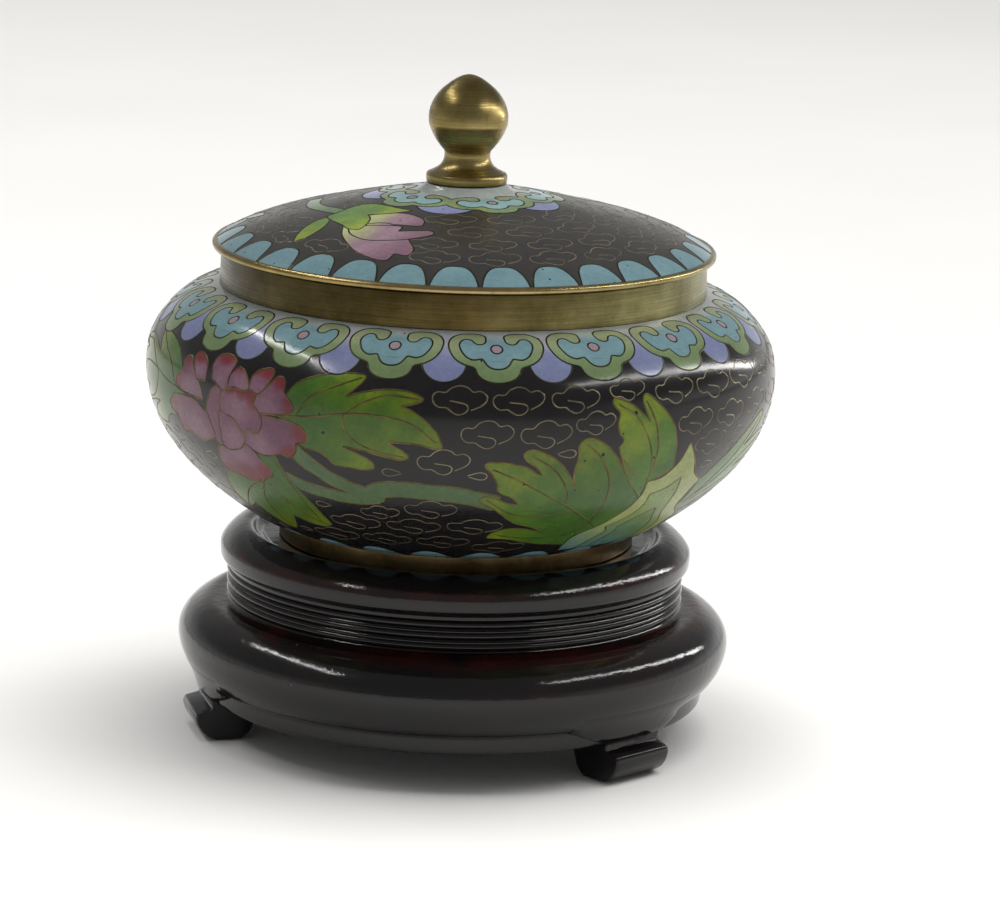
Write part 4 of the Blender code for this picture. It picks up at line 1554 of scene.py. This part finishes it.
def bracket_ring(angle, turn):
    """One section of a bracket, at a turn from its middle: over its front and back again."""
    side_z, side_r = (9.1, 9.75, 10.0, 12.0, 14.1), (42.6, 43.2, 44.2, 45.72, 46.62)
    run = min(max((abs(turn) - BRACKET_FLAT) / (BRACKET_TURN - BRACKET_FLAT), 0.0), 1.0)
    low = 6.9 + 2.7 * math.sin(0.5 * math.pi * run) ** 1.6
    proud = math.cos(0.5 * math.pi * (abs(turn) / BRACKET_TURN) ** 2)
    section = [(46.0, BRACKET_TOP), (45.98, 13.0)]
    for t in (1.0, 0.8, 0.6, 0.4, 0.2, 0.07):
        z = low + (12.0 - low) * t
        deep = 12.0 - z
        round_r = 45.80 - 0.58 * deep + 0.035 * deep * deep
        base_r = float(np.interp(z, side_z, side_r)) - 0.1
        section.append((base_r + proud * (round_r - base_r), z))
    section += [(section[-1][0] - 0.3, low), (BRACKET_BACK, low), (BRACKET_BACK, BRACKET_TOP)]
    return [(*polar(angle + turn, r), z) for r, z in section]


def bracket_mesh(angle):
    """The bracket that carries the base's round side down into a foot."""
    return prism([bracket_ring(angle, turn) for turn in np.linspace(-BRACKET_TURN, BRACKET_TURN, 49)])


def outward(obj):
    """Faces turned outwards."""
    work = bmesh.new()
    work.from_mesh(obj.data)
    bmesh.ops.recalc_face_normals(work, faces=work.faces)
    work.to_mesh(obj.data)
    work.free()


def build_stand(materials):
    """Turned stand with three bracket feet, in one piece."""
    look = (materials["lacquer"], "stand_lacquer", "wooden_stand")
    stand = new_piece("stand_turned_body", *turned_mesh(stand_line(), 180), *look)
    tools = []
    for number, angle in enumerate(FOOT_ANGLES):
        tools.append(mesh_object(f"bracket_{number}", *bracket_mesh(angle)))
        tools.append(mesh_object(f"foot_{number}", *foot_mesh(angle)))
    for obj in (stand, *tools):
        outward(obj)
    for tool in tools:
        union = stand.modifiers.new(tool.name, "BOOLEAN")
        union.operation = "UNION"
        union.solver = "EXACT"
        union.object = tool
    bpy.context.view_layer.update()
    graph = bpy.context.evaluated_depsgraph_get()
    joined = bpy.data.meshes.new_from_object(stand.evaluated_get(graph))
    stand.modifiers.clear()
    stand.data = joined
    for tool in tools:
        bpy.data.objects.remove(tool, do_unlink=True)
    smooth_shaded(stand, 38.0)


# ---------------------------------------------------------------- floor, light and camera


def build_floor():
    """Plain pale floor, with a faint unevenness."""
    look = Look("floor_paper")
    colour = look.ramp(look.noise(6.0), (0.3, (0.84, 0.84, 0.835)), (0.7, (0.87, 0.87, 0.865)))
    size = 12000.0
    corners = [(-size, -size, 0.0), (size, -size, 0.0), (size, size, 0.0), (-size, size, 0.0)]
    floor = mesh_object("floor", corners, [(0, 1, 2, 3)])
    floor.data.materials.append(look.made(colour, 0.9))
    floor.location = (0.0, 0.0, -0.0001)


def area_light(name, start, end, width, power):
    """A long soft light from start to end, turned towards the bowl."""
    light = bpy.data.lights.new(name, "AREA")
    light.shape = "RECTANGLE"
    start, end = Vector(start), Vector(end)
    along = (end - start).normalized()
    middle = (start + end) / 2.0
    light.size = (end - start).length
    light.size_y = width
    light.energy = power
    light.color = (1.0, 0.985, 0.965)
    away = (middle - Vector((0.0, 0.0, 0.06))).normalized()
    away = (away - along * away.dot(along)).normalized()
    obj = bpy.data.objects.new(name, light)
    basis = Matrix((along, away.cross(along), away)).transposed()
    obj.matrix_world = Matrix.Translation(middle) @ basis.to_4x4()
    bpy.context.scene.collection.objects.link(obj)
    return obj


def build_lights():
    """A narrow light close by on the right, a long one high on the left and a wide soft one overhead."""
    near = area_light("light_right", (0.20, -0.18, 0.32), (0.20, 0.14, 0.094), 0.014, 0.26)
    near.visible_camera = False
    area_light("light_left", (-1.0, -0.5, 1.39), (-1.0, 1.0, 1.34), 0.035, 6.6)
    soft = area_light("light_above", (-0.5, 0.1, 1.9), (1.1, 0.1, 1.9), 1.4, 37.0)
    soft.visible_glossy = False


def build_world():
    """Pale surroundings: bright just above the floor, more so on the right and behind, dimmer above."""
    world = bpy.data.worlds.new("studio")
    world.use_nodes = True
    world.node_tree.nodes.clear()
    nodes = Nodes(world.node_tree)
    source = nodes.add("ShaderNodeTexCoord").outputs["Generated"]
    split = nodes.add("ShaderNodeSeparateXYZ", {"Vector": source}).outputs
    low = nodes.spread(split["Z"], 0.03, 0.36, 0.72, 0.0, "SMOOTHSTEP")
    front = nodes.spread(split["Y"], -0.95, -0.2, 0.1, 1.0, "SMOOTHSTEP")
    side = nodes.spread(split["X"], -0.7, 0.5, 0.58, 1.0, "SMOOTHSTEP")
    glow = nodes.calculate("MULTIPLY", low, front)
    total = nodes.calculate("MULTIPLY_ADD", glow, side, 0.26)
    sky = nodes.add("ShaderNodeBackground", {"Color": (1.0, 0.995, 0.985), "Strength": total})
    nodes.add("ShaderNodeOutputWorld", {"Surface": sky.outputs["Background"]})
    bpy.context.scene.world = world


def build_camera():
    """Camera at the photograph's viewing angle."""
    yaw, pitch, roll = 0.0098, 0.2154, 0.0324
    level = math.cos(pitch)
    forward = Vector((math.sin(yaw) * level, math.cos(yaw) * level, -math.sin(pitch)))
    right = Vector((math.cos(yaw), -math.sin(yaw), 0.0))
    up = right.cross(forward)
    turned_right = right * math.cos(roll) + up * math.sin(roll)
    turned_up = up * math.cos(roll) - right * math.sin(roll)
    data = bpy.data.cameras.new("camera")
    data.sensor_width = 36.0
    data.lens = 156.18
    data.clip_start = 0.01
    data.clip_end = 60.0
    camera = bpy.data.objects.new("camera", data)
    basis = Matrix((turned_right, turned_up, -forward)).transposed()
    camera.matrix_world = Matrix.Translation((0.0, -0.720, 0.20545)) @ basis.to_4x4()
    bpy.context.scene.collection.objects.link(camera)
    bpy.context.scene.camera = camera


def make_materials():
    """Every material of the object, by use."""
    dark_wire = wire_material("border_wire", (0.012, 0.015, 0.008), (0.07, 0.065, 0.03), 0.4)
    # Painted side light on the neck: dark on the left, lighter and bluer on the right.
    neck_painted_side_light = (
        (0.05, (0.15, 0.17, 0.22)), (0.40, (0.19, 0.18, 0.18)),
        (0.55, (0.30, 0.28, 0.28)), (0.95, (0.62, 0.74, 0.95)),
    )
    # Painted side light on the rim: darker on the left, lightest in the middle.
    rim_painted_side_light = ((0.05, (0.50, 0.49, 0.32)), (0.5, (0.83, 0.80, 0.98)), (0.95, (0.64, 0.70, 0.76)))
    clean, faint = ((0.085, 0.073, 0.044), (0.23, 0.20, 0.125)), ((0.075, 0.066, 0.047), (0.18, 0.162, 0.115))
    brushed, bright = ((0.24, 0.18, 0.053), (0.58, 0.46, 0.17)), ((0.34, 0.25, 0.08), (0.68, 0.54, 0.23))
    materials = {
        "lining": lining_material(),
        "lacquer": lacquer_material(),
        "bowl_border_wire": dark_wire,
        "lid_border_wire": dark_wire,
        "lid_flower_wire": dark_wire,
    }
    rows = (
        ("bowl_field", enamel_material, "field_enamel", 0.14, 0.20, 0.06, 0.36),
        ("bowl_border", enamel_material, "border_enamel", 0.14, 0.12, 0.03, 0.36),
        ("bowl_flower", enamel_material, "flower_enamel", 0.15, 0.20, 0.03, 0.36),
        ("lid_field", enamel_material, "lid_field_gloss", 0.24, 0.20, 0.06, 0.26, 0.047),
        ("lid_border", enamel_material, "lid_border_gloss", 0.14, 0.12, 0.03, 0.43),
        ("lid_flower", enamel_material, "lid_flower_gloss", 0.15, 0.20, 0.03, 0.43),
        ("bowl_cloud_wire", wire_material, "cloud_wire", *clean, 0.35, 0.75),
        ("lid_cloud_wire", wire_material, "tarnished_wire", *faint, 0.35, 0.35),
        ("bowl_flower_wire", wire_material, "flower_wire", (0.05, 0.038, 0.015), (0.17, 0.125, 0.05), 0.4),
        ("foot", brass_material, "foot_brass_aged", (0.15, 0.10, 0.045), (0.42, 0.29, 0.13), 0.34),
        ("neck", brass_material, "neck_brass_brushed", *brushed, 0.30, *neck_painted_side_light),
        ("rim", brass_material, "rim_brass_bright", *bright, 0.26, *rim_painted_side_light),
        ("knob", brass_material, "knob_brass_satin", (0.20, 0.15, 0.050), (0.44, 0.35, 0.145), 0.29),
    )
    materials.update((use, make(*values)) for use, make, *values in rows)
    return materials


def main():
    build_camera()
    build_floor()
    build_world()
    build_lights()
    bpy.context.scene.view_settings.view_transform = "Standard"
    materials = make_materials()
    for build in (build_stand, build_brass, build_knob, build_bowl, build_lid, build_collar):
        build(materials)


main()
